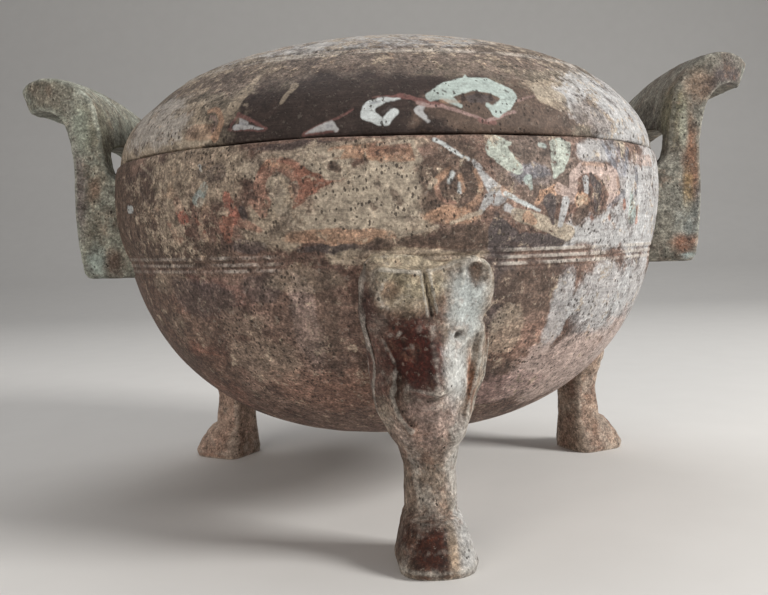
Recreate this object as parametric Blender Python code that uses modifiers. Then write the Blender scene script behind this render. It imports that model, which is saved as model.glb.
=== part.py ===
"""A covered pottery ding: a round bowl with two bent ears and three beast-headed legs, and its lid.

Metres, +Z up. The origin is on the ground, at the middle of the outline seen from above.
The ears stand at +X and -X, and one leg comes forward, towards -Y.
"""
import math

import bmesh
import bpy
from mathutils import Matrix, Vector

# Turned bowl
BOWL_AXIS_Y = 0.002
BOWL_RADIUS = 0.110
BOWL_BOTTOM = 0.0242
BOWL_WIDEST = 0.115
BOWL_FULLNESS = 2.58
BOWL_ROUNDNESS = 1.986
WALL = 0.007
FLOOR_THICKNESS = 0.008
SEAM = 0.1335
SHOULDER_RADIUS = 0.1078
SHOULDER_ROUND = 0.0016
BAND_START = 0.0965
BAND_SWELL = 0.0036
LIP_OUTER = 0.0985
LIP_INNER = 0.0945
LIP_HEIGHT = 0.008
BELT_TOP = 0.0968
BELT_LINES = 3
BELT_PITCH = 0.0021
LINE_WIDTH = 0.0009
LINE_DEPTH = 0.0005
TURNED_STEPS = 48

# Lid
LID_GAP = 0.0003
LID_RADIUS = 0.1065
LID_TOP = 0.1834
LID_WALL = 0.006
LID_SWELL = 0.0034
LID_SWELL_RISE = 0.022
LID_FULLNESS = 2.164
LID_ROUNDNESS = 2.203
LID_RING_ANGLE = 37.0
LID_RING_WIDTH = 0.0018
LID_RING_DEPTH = 0.0008

# Ears: the middle line of the slab, seen from the front, with its thickness at each station
EAR_BREADTH = 0.082
EAR_CORNER = 0.026
EAR_ARCH = 0.0030
EAR_LINE = (
    (0.1088, 0.0904, 0.0176),
    (0.1121, 0.1060, 0.0160),
    (0.1133, 0.1220, 0.0155),
    (0.1149, 0.1360, 0.0126),
    (0.1166, 0.1475, 0.0126),
    (0.1198, 0.1570, 0.0138),
    (0.1268, 0.1630, 0.0138),
    (0.1360, 0.1640, 0.0122),
    (0.1456, 0.1610, 0.0092),
)
EAR_COURSES = 15
EAR_ROOT = 0.0050
ROOT_FADE = (0.1240, 0.1305)
SLOT_WIDTH = 0.062
SLOT_SILL = 0.1305
SLOT_SPRING = 0.1370
SLOT_CROWN = 0.1450
SLOT_REACH = (0.095, 0.130)

# Legs: height, half width, reach of the front, line of greatest width, and squareness
LEG_BACK = 0.0885
LEG_TOP = 0.0985
LEG_STATIONS = (
    (0.0000, 0.0118, 0.1154, 0.1050, 0.75),
    (0.0024, 0.0124, 0.1164, 0.1050, 0.75),
    (0.0070, 0.0113, 0.1142, 0.1030, 0.80),
    (0.0110, 0.0101, 0.1114, 0.1005, 0.85),
    (0.0144, 0.0091, 0.1084, 0.0970, 0.85),
    (0.0156, 0.0083, 0.1056, 0.0945, 0.90),
    (0.0290, 0.0082, 0.1040, 0.0940, 0.90),
    (0.0350, 0.0096, 0.1048, 0.0940, 0.90),
    (0.0400, 0.0126, 0.1060, 0.0945, 0.88),
    (0.0480, 0.0160, 0.1074, 0.0950, 0.80),
    (0.0580, 0.0192, 0.1094, 0.0960, 0.66),
    (0.0680, 0.0212, 0.1104, 0.0975, 0.64),
    (0.0800, 0.0218, 0.1114, 0.1020, 0.62),
    (0.0900, 0.0216, 0.1118, 0.1040, 0.62),
    (0.0945, 0.0205, 0.1110, 0.1040, 0.66),
    (0.0985, 0.0180, 0.1060, 0.1030, 0.80),
)
LEG_FRONT_SIDES = 18
LEG_BACK_SIDES = 4
LEG_EVENNESS = 0.5
HEAD_BASE = 0.0350
HEAD_COURSES = 24
LEG_PIVOT = 0.1090
FOOT_FADE = (0.030, 0.080)

# Each leg: name, bearing from -Y towards +X in degrees, how far the foot is set out and aside, and
# how far the head is turned about the line of its face
LEGS = (
    ("front", 5.8, 0.0, 0.0006, 11.0),
    ("right", 117.0, 0.0, -0.0050, -1.0),
    ("left", -119.0, -0.0040, -0.0036, 6.0),
)
# Each ear: name, side, how far it is set out, and how much higher its bent top stands
EARS = (("right", 1.0, -0.0005, 0.0004), ("left", -1.0, 0.0008, -0.0018))

# Head relief: strokes on the face, as (points of the line, half width, height)
FACE_STROKES = (
    (((0.0155, 0.0885), (0.0165, 0.0905)), 0.0060, 0.0026),
    (((0.0155, 0.0885), (0.0160, 0.0900)), 0.0028, -0.0036),
    (((0.0140, 0.0820), (0.0070, 0.0740)), 0.0042, 0.0012),
    (((0.0000, 0.0925), (0.0000, 0.0770)), 0.0013, -0.0018),
    (((0.0000, 0.0745), (0.0000, 0.0560)), 0.0068, 0.0042),
    (((0.0000, 0.0620), (0.0000, 0.0570)), 0.0054, 0.0016),
    (((0.0087, 0.0705), (0.0087, 0.0707)), 0.0030, 0.0012),
    (((0.0120, 0.0640), (0.0105, 0.0560)), 0.0036, -0.0020),
    (((0.0000, 0.0524), (0.0065, 0.0536)), 0.0017, -0.0018),
    (((0.0190, 0.0710), (0.0172, 0.0600), (0.0140, 0.0490), (0.0090, 0.0400), (0.0055, 0.0375)),
     0.0022, 0.0018),
    (((0.0000, 0.0480), (0.0000, 0.0420)), 0.0070, 0.0010),
    (((0.0000, 0.0970), (0.0060, 0.0960)), 0.0050, -0.0030),
)


def principled(name, color, roughness):
    """A plain fired-clay material."""
    material = bpy.data.materials.new(name)
    material.use_nodes = True
    shader = material.node_tree.nodes["Principled BSDF"]
    shader.inputs["Base Color"].default_value = (*color, 1.0)
    shader.inputs["Roughness"].default_value = roughness
    shader.inputs["Metallic"].default_value = 0.0
    return material


def smooth_table(table, at, column):
    """Read one column of a table by its first column, easing between its rows."""
    if at <= table[0][0]:
        return table[0][column]
    for low, high in zip(table, table[1:]):
        if at <= high[0]:
            share = (at - low[0]) / (high[0] - low[0])
            eased = share * share * (3.0 - 2.0 * share)
            blend = 0.5 * (share + eased)
            return low[column] + (high[column] - low[column]) * blend
    return table[-1][column]


def smooth_step(low, high, value):
    """0 below low, 1 above high, and an eased rise between."""
    share = min(max((value - low) / (high - low), 0.0), 1.0)
    return share * share * (3.0 - 2.0 * share)


def dome(radius, rise, base, fullness, roundness, angle):
    """A point of a superellipse: radius at the base, and rise above it or, when negative, below."""
    across = radius * max(math.cos(angle), 0.0) ** (2.0 / fullness)
    up = base + rise * max(math.sin(angle), 0.0) ** (2.0 / roundness)
    return across, up


def bowl_radius(height):
    """The outer radius of the bowl below its widest level."""
    share = min(max((BOWL_WIDEST - height) / (BOWL_WIDEST - BOWL_BOTTOM), 0.0), 1.0)
    sine = share ** (BOWL_ROUNDNESS / 2.0)
    return BOWL_RADIUS * max(1.0 - sine * sine, 0.0) ** (1.0 / BOWL_FULLNESS)


def band_swell(height):
    """How far the painted band stands out over the plain curve, growing up to the seam."""
    share = min(max((height - BAND_START) / (SEAM - BAND_START), 0.0), 1.0)
    return BAND_SWELL * share * (1.6 - 0.6 * share)


def lid_swell(height):
    """How far the lid spreads over its plain curve, dying out above the rim."""
    share = min(max((height - SEAM - LID_GAP) / LID_SWELL_RISE, 0.0), 1.0)
    return LID_SWELL * (1.0 - share ** 1.5)


def bowl_outline():
    """The outside of the bowl, from the middle of the mouth down to the middle of the base."""
    points = [(0.0, SEAM + LIP_HEIGHT)]
    points += [(LIP_OUTER, SEAM + LIP_HEIGHT), (LIP_OUTER, SEAM)]
    for turn in (90, 45, 0):
        angle = math.radians(turn)
        points.append((SHOULDER_RADIUS + BAND_SWELL - SHOULDER_ROUND * (1.0 - math.cos(angle)),
                       SEAM - SHOULDER_ROUND * (1.0 - math.sin(angle))))
    rise = SEAM - SHOULDER_ROUND - BOWL_WIDEST
    for step in (2, 1, 0):
        share = step / 3.0
        height = BOWL_WIDEST + rise * share
        points.append((BOWL_RADIUS - (BOWL_RADIUS - SHOULDER_RADIUS) * share ** 2.2
                       + band_swell(height), height))
    points += [(bowl_radius(height) + band_swell(height), height) for height in (0.109, 0.103)]
    for line in range(BELT_LINES):
        top = BELT_TOP - line * BELT_PITCH
        for offset, depth in ((0.0, 0.0), (0.5, LINE_DEPTH), (1.0, 0.0)):
            height = top - offset * LINE_WIDTH
            points.append((bowl_radius(height) - depth, height))
    angles = [25, 33, 41, 49, 57, 65, 73, 80, 86]
    rise = BOWL_BOTTOM - BOWL_WIDEST
    for turn in angles:
        points.append(dome(BOWL_RADIUS, rise, BOWL_WIDEST, BOWL_FULLNESS, BOWL_ROUNDNESS,
                           math.radians(turn)))
    points.append((0.0, BOWL_BOTTOM))
    return points


def cavity_outline():
    """The hollow of the bowl, from above its mouth down to the middle of its floor."""
    above = SEAM + 2.0 * LIP_HEIGHT
    inner = BOWL_RADIUS - WALL
    points = [(0.0, above), (LIP_INNER, above), (LIP_INNER, SEAM - WALL)]
    rise = BOWL_BOTTOM + FLOOR_THICKNESS - BOWL_WIDEST
    for turn in (0, 20, 36, 51, 65, 78):
        points.append(dome(inner, rise, BOWL_WIDEST, BOWL_FULLNESS, BOWL_ROUNDNESS,
                           math.radians(turn)))
    points.append((0.0, BOWL_BOTTOM + FLOOR_THICKNESS))
    return points


def lid_outline():
    """The lid, from the middle of its top down the outside and back up the inside."""
    base = SEAM + LID_GAP
    rise = LID_TOP - base
    points = [(0.0, LID_TOP)]
    ring = LID_RING_ANGLE
    half = math.degrees(0.5 * LID_RING_WIDTH / LID_RADIUS) * 1.4
    for turn in (82, 71, 60, 50, ring + half, ring, ring - half, 28, 19, 11, 4):
        across, up = dome(LID_RADIUS, rise, base, LID_FULLNESS, LID_ROUNDNESS, math.radians(turn))
        if turn == ring:
            across -= LID_RING_DEPTH * 0.5
            up -= LID_RING_DEPTH
        points.append((across + lid_swell(up), up))
    points.append((LID_RADIUS + LID_SWELL, base))
    inner = LID_RADIUS - LID_WALL
    for turn in (0, 10, 23, 38, 53, 67, 80):
        points.append(dome(inner, rise - LID_WALL, base, LID_FULLNESS, LID_ROUNDNESS,
                           math.radians(turn)))
    points.append((0.0, LID_TOP - LID_WALL))
    return points


def turned(name, outline, steps):
    """Turn an outline of (radius, height) about the bowl's axis."""
    mesh = bpy.data.meshes.new(name)
    vertices = [(radius, 0.0, height) for radius, height in outline]
    edges = [(first, first + 1) for first in range(len(outline) - 1)]
    mesh.from_pydata(vertices, edges, [])
    piece = bpy.data.objects.new(name, mesh)
    screw = piece.modifiers.new("Turn", "SCREW")
    screw.axis = "Z"
    screw.steps = steps
    screw.render_steps = steps
    screw.use_merge_vertices = True
    screw.merge_threshold = 0.0001
    return piece


def ear_station(share):
    """Place, direction along the slab and thickness, at a share of the middle line's length."""
    count = len(EAR_LINE)
    place = share * (count - 1)
    index = min(int(place), count - 2)
    local = place - index
    rows = [EAR_LINE[min(max(index + shift, 0), count - 1)] for shift in (-1, 0, 1, 2)]

    def blend(column):
        first, second, third, fourth = (row[column] for row in rows)
        slope_a = 0.5 * (third - first)
        slope_b = 0.5 * (fourth - second)
        square, cube = local ** 2, local ** 3
        return ((2 * cube - 3 * square + 1) * second + (cube - 2 * square + local) * slope_a
                + (3 * square - 2 * cube) * third + (cube - square) * slope_b)

    return blend(0), blend(1), blend(2)


def ear_slab(name, side, set_out, top_lift):
    """An ear, made at +X: a plate with rounded top corners, cut into courses and bent."""
    bm = bmesh.new()
    bmesh.ops.create_cube(bm, size=1.0)
    length = sum(math.dist(low[:2], high[:2]) for low, high in zip(EAR_LINE, EAR_LINE[1:]))
    bmesh.ops.scale(bm, vec=(1.0, EAR_BREADTH, length), verts=bm.verts)
    bmesh.ops.translate(bm, vec=(0.0, 0.0, 0.5 * length), verts=bm.verts)
    corners = [edge for edge in bm.edges
               if all(vertex.co.z > 0.9 * length for vertex in edge.verts)
               and abs(edge.verts[0].co.y - edge.verts[1].co.y) < 1e-6]
    bmesh.ops.bevel(bm, geom=corners, offset=EAR_CORNER, segments=3, profile=0.5,
                    affect="EDGES", material=-1)
    for course in range(1, EAR_COURSES):
        height = length * course / EAR_COURSES
        bmesh.ops.bisect_plane(bm, geom=bm.verts[:] + bm.edges[:] + bm.faces[:], dist=1e-6,
                               plane_co=(0.0, 0.0, height), plane_no=(0.0, 0.0, 1.0))
    for quarter in (-0.25, 0.25):
        bmesh.ops.bisect_plane(bm, geom=bm.verts[:] + bm.edges[:] + bm.faces[:], dist=1e-6,
                               plane_co=(0.0, quarter * EAR_BREADTH, 0.0), plane_no=(0.0, 1.0, 0.0))
    for vertex in bm.verts:
        share = vertex.co.z / length
        here, height, thickness = ear_station(share)
        before = ear_station(max(share - 0.01, 0.0))
        after = ear_station(min(share + 0.01, 1.0))
        along = Vector((after[0] - before[0], 0.0, after[1] - before[1])).normalized()
        outward = Vector((along.z, 0.0, -along.x))
        outward = Vector((1.0, 0.0, 0.0)).lerp(outward, smooth_step(0.0, 0.2, share))
        across = 2.0 * vertex.co.y / EAR_BREADTH
        arch = (EAR_ARCH * (1.0 - across * across) + top_lift) * smooth_step(0.55, 0.8, share)
        place = Vector((here, vertex.co.y, height + arch)) + outward * thickness * vertex.co.x
        if vertex.co.x < 0.0:
            place.x -= EAR_ROOT * (1.0 - smooth_step(*ROOT_FADE, height))
        vertex.co = place
    return on_side(name, bm, side, set_out)


def slot_block(name, side, set_out):
    """The window through an ear, made at +X: flat sill, upright jambs and a low arch."""
    half = 0.5 * SLOT_WIDTH
    outline = [(-half, SLOT_SILL), (half, SLOT_SILL)]
    for step in range(9):
        angle = math.pi * step / 8
        outline.append((half * math.cos(angle),
                        SLOT_SPRING + (SLOT_CROWN - SLOT_SPRING) * math.sin(angle) ** 0.8))
    bm = bmesh.new()
    near = [bm.verts.new((SLOT_REACH[0], across, height)) for across, height in outline]
    face = bm.faces.new(near)
    grown = bmesh.ops.extrude_face_region(bm, geom=[face])
    moved = [item for item in grown["geom"] if isinstance(item, bmesh.types.BMVert)]
    bmesh.ops.translate(bm, vec=(SLOT_REACH[1] - SLOT_REACH[0], 0.0, 0.0), verts=moved)
    bmesh.ops.recalc_face_normals(bm, faces=bm.faces)
    return on_side(name, bm, side, set_out)


def distance_to_line(x, z, points):
    """How far (x, z) is from a line through the points."""
    best = 1.0
    for (ax, az), (bx, bz) in zip(points, points[1:]):
        dx, dz = bx - ax, bz - az
        share = ((x - ax) * dx + (z - az) * dz) / (dx * dx + dz * dz)
        share = min(max(share, 0.0), 1.0)
        best = min(best, math.hypot(x - ax - share * dx, z - az - share * dz))
    return best


def face_relief(x, z):
    """How far the carved face stands out at a place on the front of the leg."""
    total = 0.0
    for points, half_width, height in FACE_STROKES:
        away = distance_to_line(abs(x), z, points)
        total += height * math.exp(-(away / half_width) ** 2)
    return total


def leg_point(side, height, foot_out, foot_aside):
    """Where an upright of the leg passes a height, on a leg that faces -Y.

    The uprights are counted from the +X edge, over the front and round by the flat back.
    """
    half = smooth_table(LEG_STATIONS, height, 1)
    reach = smooth_table(LEG_STATIONS, height, 2)
    middle = smooth_table(LEG_STATIONS, height, 3)
    power = smooth_table(LEG_STATIONS, height, 4)
    if side <= LEG_FRONT_SIDES:
        share = side / LEG_FRONT_SIDES
        cosine = (math.cos(math.pi * share) * (1.0 - LEG_EVENNESS)
                  + (1.0 - 2.0 * share) * LEG_EVENNESS)
        sine = math.sqrt(max(1.0 - cosine * cosine, 0.0))
        x = half * cosine
        out = middle + (reach - middle) * (1.0 - abs(cosine) ** (2.0 / power)) ** (0.5 * power)
        out += face_relief(x, height) * smooth_step(0.0, 0.35, sine)
    else:
        share = (side - LEG_FRONT_SIDES - 1) / (LEG_BACK_SIDES - 2)
        x = half * (2.0 * share - 1.0)
        out = LEG_BACK
    sway = 1.0 - smooth_step(*FOOT_FADE, height)
    return Vector((x + foot_aside * sway, -out - foot_out * sway, height))


def leg_solid(name, bearing, foot_out, foot_aside, turn):
    """One leg: a drum cut into courses, each drawn out to the leg's section."""
    heights = [row[0] for row in LEG_STATIONS if row[0] < HEAD_BASE]
    heights += [HEAD_BASE + (LEG_TOP - HEAD_BASE) * course / HEAD_COURSES
                for course in range(HEAD_COURSES + 1)]
    sides = LEG_FRONT_SIDES + LEG_BACK_SIDES
    bm = bmesh.new()
    bmesh.ops.create_cone(bm, cap_ends=True, segments=sides, radius1=1.0, radius2=1.0, depth=1.0)
    uprights = [edge for edge in bm.edges
                if abs(edge.verts[0].co.z - edge.verts[1].co.z) > 0.5]
    bmesh.ops.subdivide_edges(bm, edges=uprights, cuts=len(heights) - 2, use_grid_fill=True)
    pivot = Vector((0.0, -LEG_PIVOT, 0.0))
    place = Matrix.Rotation(math.radians(bearing), 3, "Z")
    for vertex in bm.verts:
        side = round(math.atan2(vertex.co.y, vertex.co.x) / (2.0 * math.pi) * sides) % sides
        height = heights[round((vertex.co.z + 0.5) * (len(heights) - 1))]
        local = leg_point(side, height, foot_out, foot_aside)
        facing = Matrix.Rotation(math.radians(turn) * smooth_step(*FOOT_FADE, height), 3, "Z")
        vertex.co = place @ (pivot + facing @ (local - pivot))
    return mesh_object(name, bm)


def mesh_object(name, bm):
    """Close a bmesh into an object, with its faces pointing out."""
    if bm.calc_volume(signed=True) < 0.0:
        bmesh.ops.reverse_faces(bm, faces=bm.faces)
    bmesh.ops.triangulate(bm, faces=bm.faces)
    mesh = bpy.data.meshes.new(name)
    bm.to_mesh(mesh)
    bm.free()
    return bpy.data.objects.new(name, mesh)


def on_side(name, bm, side, set_out):
    """Move a piece made at +X out a little, and turn it over to -X where side is -1."""
    bmesh.ops.translate(bm, vec=(set_out, 0.0, 0.0), verts=bm.verts)
    if side < 0.0:
        bmesh.ops.scale(bm, vec=(-1.0, 1.0, 1.0), verts=bm.verts)
    return mesh_object(name, bm)


def join(target, other, operation):
    """Unite with, or cut away, another closed piece."""
    change = target.modifiers.new(f"{operation.title()} {other.name}", "BOOLEAN")
    change.operation = operation
    change.solver = "EXACT"
    change.object = other


def keep_as_tool(piece, collection, parent):
    """Hide a cutter or a piece that another is united with."""
    collection.objects.link(piece)
    piece.parent = parent
    piece.hide_render = True
    piece.display_type = "WIRE"


def build():
    """Model the vessel and its lid."""
    for old in list(bpy.data.objects):
        bpy.data.objects.remove(old, do_unlink=True)
    ding = bpy.data.collections.new("tripod_ding")
    tools = bpy.data.collections.new("tripod_ding_tools")
    bpy.context.scene.collection.children.link(ding)
    bpy.context.scene.collection.children.link(tools)
    axis = bpy.data.objects.new("bowl_axis", None)
    axis.location = (0.0, BOWL_AXIS_Y, 0.0)
    ding.objects.link(axis)

    vessel = turned("vessel", bowl_outline(), TURNED_STEPS)
    ears = []
    for name, side, set_out, top_lift in EARS:
        ear = ear_slab(f"ear_{name}", side, set_out, top_lift)
        window = slot_block(f"slot_{name}", side, set_out)
        keep_as_tool(window, tools, axis)
        join(ear, window, "DIFFERENCE")
        ears.append(ear)
    legs = [leg_solid(f"leg_{name}", *rest) for name, *rest in LEGS]
    for piece in ears + legs:
        keep_as_tool(piece, tools, axis)
        join(vessel, piece, "UNION")
    cavity = turned("cavity", cavity_outline(), TURNED_STEPS)
    keep_as_tool(cavity, tools, axis)
    join(vessel, cavity, "DIFFERENCE")

    lid = turned("lid", lid_outline(), TURNED_STEPS)
    for piece, color in ((vessel, (0.33, 0.28, 0.23)), (lid, (0.36, 0.31, 0.26))):
        ding.objects.link(piece)
        piece.parent = axis
        piece.data.materials.append(principled(f"painted_clay_{piece.name}", color, 0.85))


build()
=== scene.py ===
# %% [markdown]
# # A painted pottery ding, dressed on its measured frame
# A ding is a footed cauldron. This one is a clay copy made for a tomb: a turned bowl and lid, two
# bent ears, and three moulded legs, each a beast's head over a hoof. The frame loaded here gives
# the true sizes. Every piece is made anew at those sizes, in finer detail, and takes the frame
# piece's place.

import math

import bmesh
import bpy
from mathutils import Matrix, Vector, noise


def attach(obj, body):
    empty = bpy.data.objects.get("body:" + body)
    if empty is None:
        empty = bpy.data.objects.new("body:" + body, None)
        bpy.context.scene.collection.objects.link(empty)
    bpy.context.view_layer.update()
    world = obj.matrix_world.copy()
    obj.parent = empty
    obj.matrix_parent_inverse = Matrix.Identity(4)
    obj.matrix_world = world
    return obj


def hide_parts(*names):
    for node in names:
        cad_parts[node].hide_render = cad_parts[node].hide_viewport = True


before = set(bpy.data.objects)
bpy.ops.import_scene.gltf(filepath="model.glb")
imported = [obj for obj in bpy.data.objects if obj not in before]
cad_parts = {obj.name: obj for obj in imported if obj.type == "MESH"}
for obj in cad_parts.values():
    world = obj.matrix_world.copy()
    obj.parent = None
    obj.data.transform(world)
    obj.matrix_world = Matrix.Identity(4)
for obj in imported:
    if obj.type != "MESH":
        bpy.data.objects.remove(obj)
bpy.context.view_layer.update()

# %% [markdown]
# The bowl was thrown on a wheel, so one outline says nearly all about it. It is a superellipse,
# rounder in the shoulder than an ellipse. The same sizes shape the bowl, the places where legs and
# ears meet it, and the ornament painted round it, so they are named once, here.

# %% Sizes shared by all pieces
MM = 0.001
AXIS_Y = 0.002
BOWL_RADIUS, BOWL_BOTTOM, BOWL_WIDEST = 0.110, 0.0242, 0.115
BOWL_FULLNESS, BOWL_ROUNDNESS = 2.58, 1.986
WALL, FLOOR_THICKNESS = 0.007, 0.008
SEAM, SHOULDER_RADIUS = 0.1335, 0.1078
BAND_START, BAND_SWELL = 0.0965, 0.0036
LIP_OUTER, LIP_INNER, LIP_HEIGHT = 0.0985, 0.0945, 0.008
LID_GAP, LID_RADIUS, LID_TOP, LID_WALL = 0.0003, 0.1065, 0.1834, 0.006
LID_FULLNESS, LID_ROUNDNESS = 2.164, 2.203
LID_SWELL, LID_SWELL_RISE = 0.0034, 0.022
LEAN = 0.0010
BOWL_STEPS, LID_STEPS = 320, 300
TURNED_WAVE, TURNED_GRAIN = 0.00035, 0.00005


def clamped(value):
    """The value, held between 0 and 1."""
    return min(max(value, 0.0), 1.0)


def smooth_step(low, high, value):
    """0 on the low side, 1 on the high side, and an eased rise between."""
    share = clamped((value - low) / (high - low))
    return share * share * (3.0 - 2.0 * share)


def bell(value, width):
    """1 at zero, falling away like a bell."""
    return math.exp(-(value / width) ** 2)


def bowl_radius(height):
    """The outer radius of the bowl at a height. Above the belt the painted band swells out."""
    share = clamped((height - BAND_START) / (SEAM - BAND_START))
    swell = BAND_SWELL * share * (1.6 - 0.6 * share)
    if height <= BOWL_WIDEST:
        share = clamped((BOWL_WIDEST - height) / (BOWL_WIDEST - BOWL_BOTTOM))
        sine = share ** (BOWL_ROUNDNESS / 2.0)
        return BOWL_RADIUS * max(1.0 - sine * sine, 0.0) ** (1.0 / BOWL_FULLNESS) + swell
    share = min((height - BOWL_WIDEST) / (SEAM - BOWL_WIDEST), 1.0)
    return BOWL_RADIUS - (BOWL_RADIUS - SHOULDER_RADIUS) * share ** 2.2 + swell


def dome(radius, rise, base, fullness, roundness, turn):
    """A point of a superellipse, given by its turn in degrees from the widest level."""
    angle = math.radians(turn)
    return (radius * max(math.cos(angle), 0.0) ** (2.0 / fullness),
            base + rise * max(math.sin(angle), 0.0) ** (2.0 / roundness))


print("bowl radius at the belt", round(bowl_radius(0.095), 4))

# %% [markdown]
# Clay is never quite true: a thrown wall waves a little, and burial has pitted it. Noise gives
# both, a slow wave for the hand and a quick one for the worn skin. One helper treats every piece
# alike.

# %% Helpers that finish a piece
def roughen(bm, slow, quick):
    """Move every point along its normal, slowly as by the hand and quickly as by wear."""
    bm.normal_update()
    moves = []
    for vertex in bm.verts:
        place = vertex.co
        wave = noise.noise(place * 28.0) * slow + noise.noise(place * 90.0) * 0.4 * slow
        pits = noise.noise(place * 330.0) + 0.6 * noise.noise(place * 700.0)
        moves.append(vertex.normal * (wave + pits * quick))
    for vertex, move in zip(bm.verts, moves):
        vertex.co += move


def loose_object(name, bm):
    """Turn a bmesh into an object."""
    mesh = bpy.data.meshes.new(name)
    bm.to_mesh(mesh)
    bm.free()
    piece = bpy.data.objects.new(name, mesh)
    bpy.context.scene.collection.objects.link(piece)
    return piece


def finish_piece(name, bm, material, node="vessel"):
    """Make a smooth piece that rides on the frame in place of a node."""
    piece = loose_object(name, bm)
    piece.data.materials.append(material)
    piece.data.shade_smooth()
    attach(piece, "root")
    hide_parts(node)
    print(name, len(piece.data.polygons), "faces")
    return piece


def turn_outline(outline, steps):
    """Spin an outline of (radius, height) about the bowl's axis into a closed skin."""
    bm = bmesh.new()
    points = [bm.verts.new((radius, AXIS_Y, height)) for radius, height in outline]
    edges = [bm.edges.new(pair) for pair in zip(points, points[1:])]
    bmesh.ops.spin(bm, geom=points + edges, cent=(0.0, AXIS_Y, 0.0), axis=(0.0, 0.0, 1.0),
                   angle=2.0 * math.pi, steps=steps, use_merge=True, use_duplicate=False)
    bmesh.ops.remove_doubles(bm, verts=bm.verts, dist=0.00002)
    bmesh.ops.recalc_face_normals(bm, faces=bm.faces)
    return bm


# %% [markdown]
# ## Paint and clay as node groups
# The surface has a history: fired clay, slip, brushed ornament, then two thousand years of wear,
# crust and root marks. Each layer is a mask and a colour laid over the one before. A group is made
# once and placed many times. A small class lets sockets take part in sums, so a formula reads as
# arithmetic.

# %% A helper that writes nodes
class Value:
    """What a socket gives, ready for arithmetic."""

    def __init__(self, graph, socket):
        self.graph, self.socket = graph, socket

    def __add__(self, other):
        return self.graph.math("ADD", self, other)

    def __sub__(self, other):
        return self.graph.math("SUBTRACT", self, other)

    def __rsub__(self, other):
        return self.graph.math("SUBTRACT", other, self)

    def __mul__(self, other):
        return self.graph.math("MULTIPLY", self, other)

    def between(self, start, end):
        """The value at this share of the way from start to end."""
        return self.graph.math("MULTIPLY_ADD", self, end - start, start)

    def rise(self, low, high):
        """A smooth rise from 0 to 1 between low and high."""
        return self.graph.node("ShaderNodeMapRange", (self, low, high),
                               interpolation_type="SMOOTHSTEP")


class Graph:
    """Adds nodes to a tree, with plain calls in place of long socket talk."""

    def __init__(self, tree):
        self.tree = tree

    def put(self, socket, value):
        """Link a value to a socket, or set the socket. A colour may leave out its alpha."""
        if isinstance(value, Value):
            self.tree.links.new(value.socket, socket)
        else:
            short = socket.type == "RGBA" and len(value) == 3
            socket.default_value = (*value, 1.0) if short else value

    def node(self, kind, inputs=(), outputs=(0,), **settings):
        """A new node, its inputs given in order or by name: returns the outputs asked for."""
        node = self.tree.nodes.new(kind)
        for name, setting in settings.items():
            setattr(node, name, setting)
        for key in inputs if isinstance(inputs, dict) else range(len(inputs)):
            self.put(node.inputs[key], inputs[key])
        values = [Value(self, node.outputs[key]) for key in outputs]
        return values if len(values) > 1 else values[0]

    def math(self, operation, *values):
        return self.node("ShaderNodeMath", values, operation=operation)

    def vector(self, operation, *values):
        output = "Value" if operation in ("DOT_PRODUCT", "LENGTH") else "Vector"
        return self.node("ShaderNodeVectorMath", values, (output,), operation=operation)

    def scaled(self, vector, factor):
        return self.node("ShaderNodeVectorMath", {0: vector, "Scale": factor}, operation="SCALE")

    def mix(self, factor, under, over):
        """One colour laid over another."""
        return self.node("ShaderNodeMix", {0: factor, 6: under, 7: over}, (2,), data_type="RGBA")

    def cloud(self, place, scale, detail=3.0, roughness=0.55, distortion=0.0, output="Fac"):
        """Noise between 0 and 1."""
        labels = ("Vector", "Scale", "Detail", "Roughness", "Distortion")
        sizes = dict(zip(labels, (place, scale, detail, roughness, distortion)))
        return self.node("ShaderNodeTexNoise", sizes, (output,))

    def axes(self, vector):
        return self.node("ShaderNodeSeparateXYZ", (vector,), "XYZ")

    def use(self, group, **inputs):
        """Place a node group. Spaces in the names of its inputs are written as underscores."""
        tree = bpy.data.node_groups[group]
        gives = [item.name for item in tree.interface.items_tree if item.in_out == "OUTPUT"]
        inputs = {label.replace("_", " "): value for label, value in inputs.items()}
        return self.node("ShaderNodeGroup", inputs, gives, node_tree=tree)

    def give(self, **results):
        """Say what a group puts out."""
        node = self.tree.nodes.new("NodeGroupOutput")
        for label, value in results.items():
            self.put(node.inputs[label], value)


def new_group(name, outputs, **inputs):
    """A node group with named sockets: returns its graph, then a value for each input.

    The default tells the kind: () is a vector, four numbers are a colour."""
    tree = bpy.data.node_groups.new(name, "ShaderNodeTree")
    labels = [label.replace("_", " ") for label in inputs]
    for label, default in zip(labels, inputs.values()):
        kind = "Float" if isinstance(default, float) else "Color" if default else "Vector"
        socket = tree.interface.new_socket(label, in_out="INPUT", socket_type="NodeSocket" + kind)
        if default != ():
            socket.default_value = default
    for label in outputs.split():
        kind = {"Color": "Color", "Sheet": "Vector"}.get(label, "Float")
        tree.interface.new_socket(label, in_out="OUTPUT", socket_type="NodeSocket" + kind)
    graph = Graph(tree)
    given = tree.nodes.new("NodeGroupInput").outputs
    return graph, *(Value(graph, given[label]) for label in labels)


print("node helpers ready")

# %% [markdown]
# The painter worked round the pot, so the ornament is drawn in unrolled millimetres: how far round
# from the front, and how high. One group turns a place on the pot into that flat sheet, with a
# slight wobble of the hand. Past the ears it runs back again, so the back carries the front's band
# mirrored.

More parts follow.
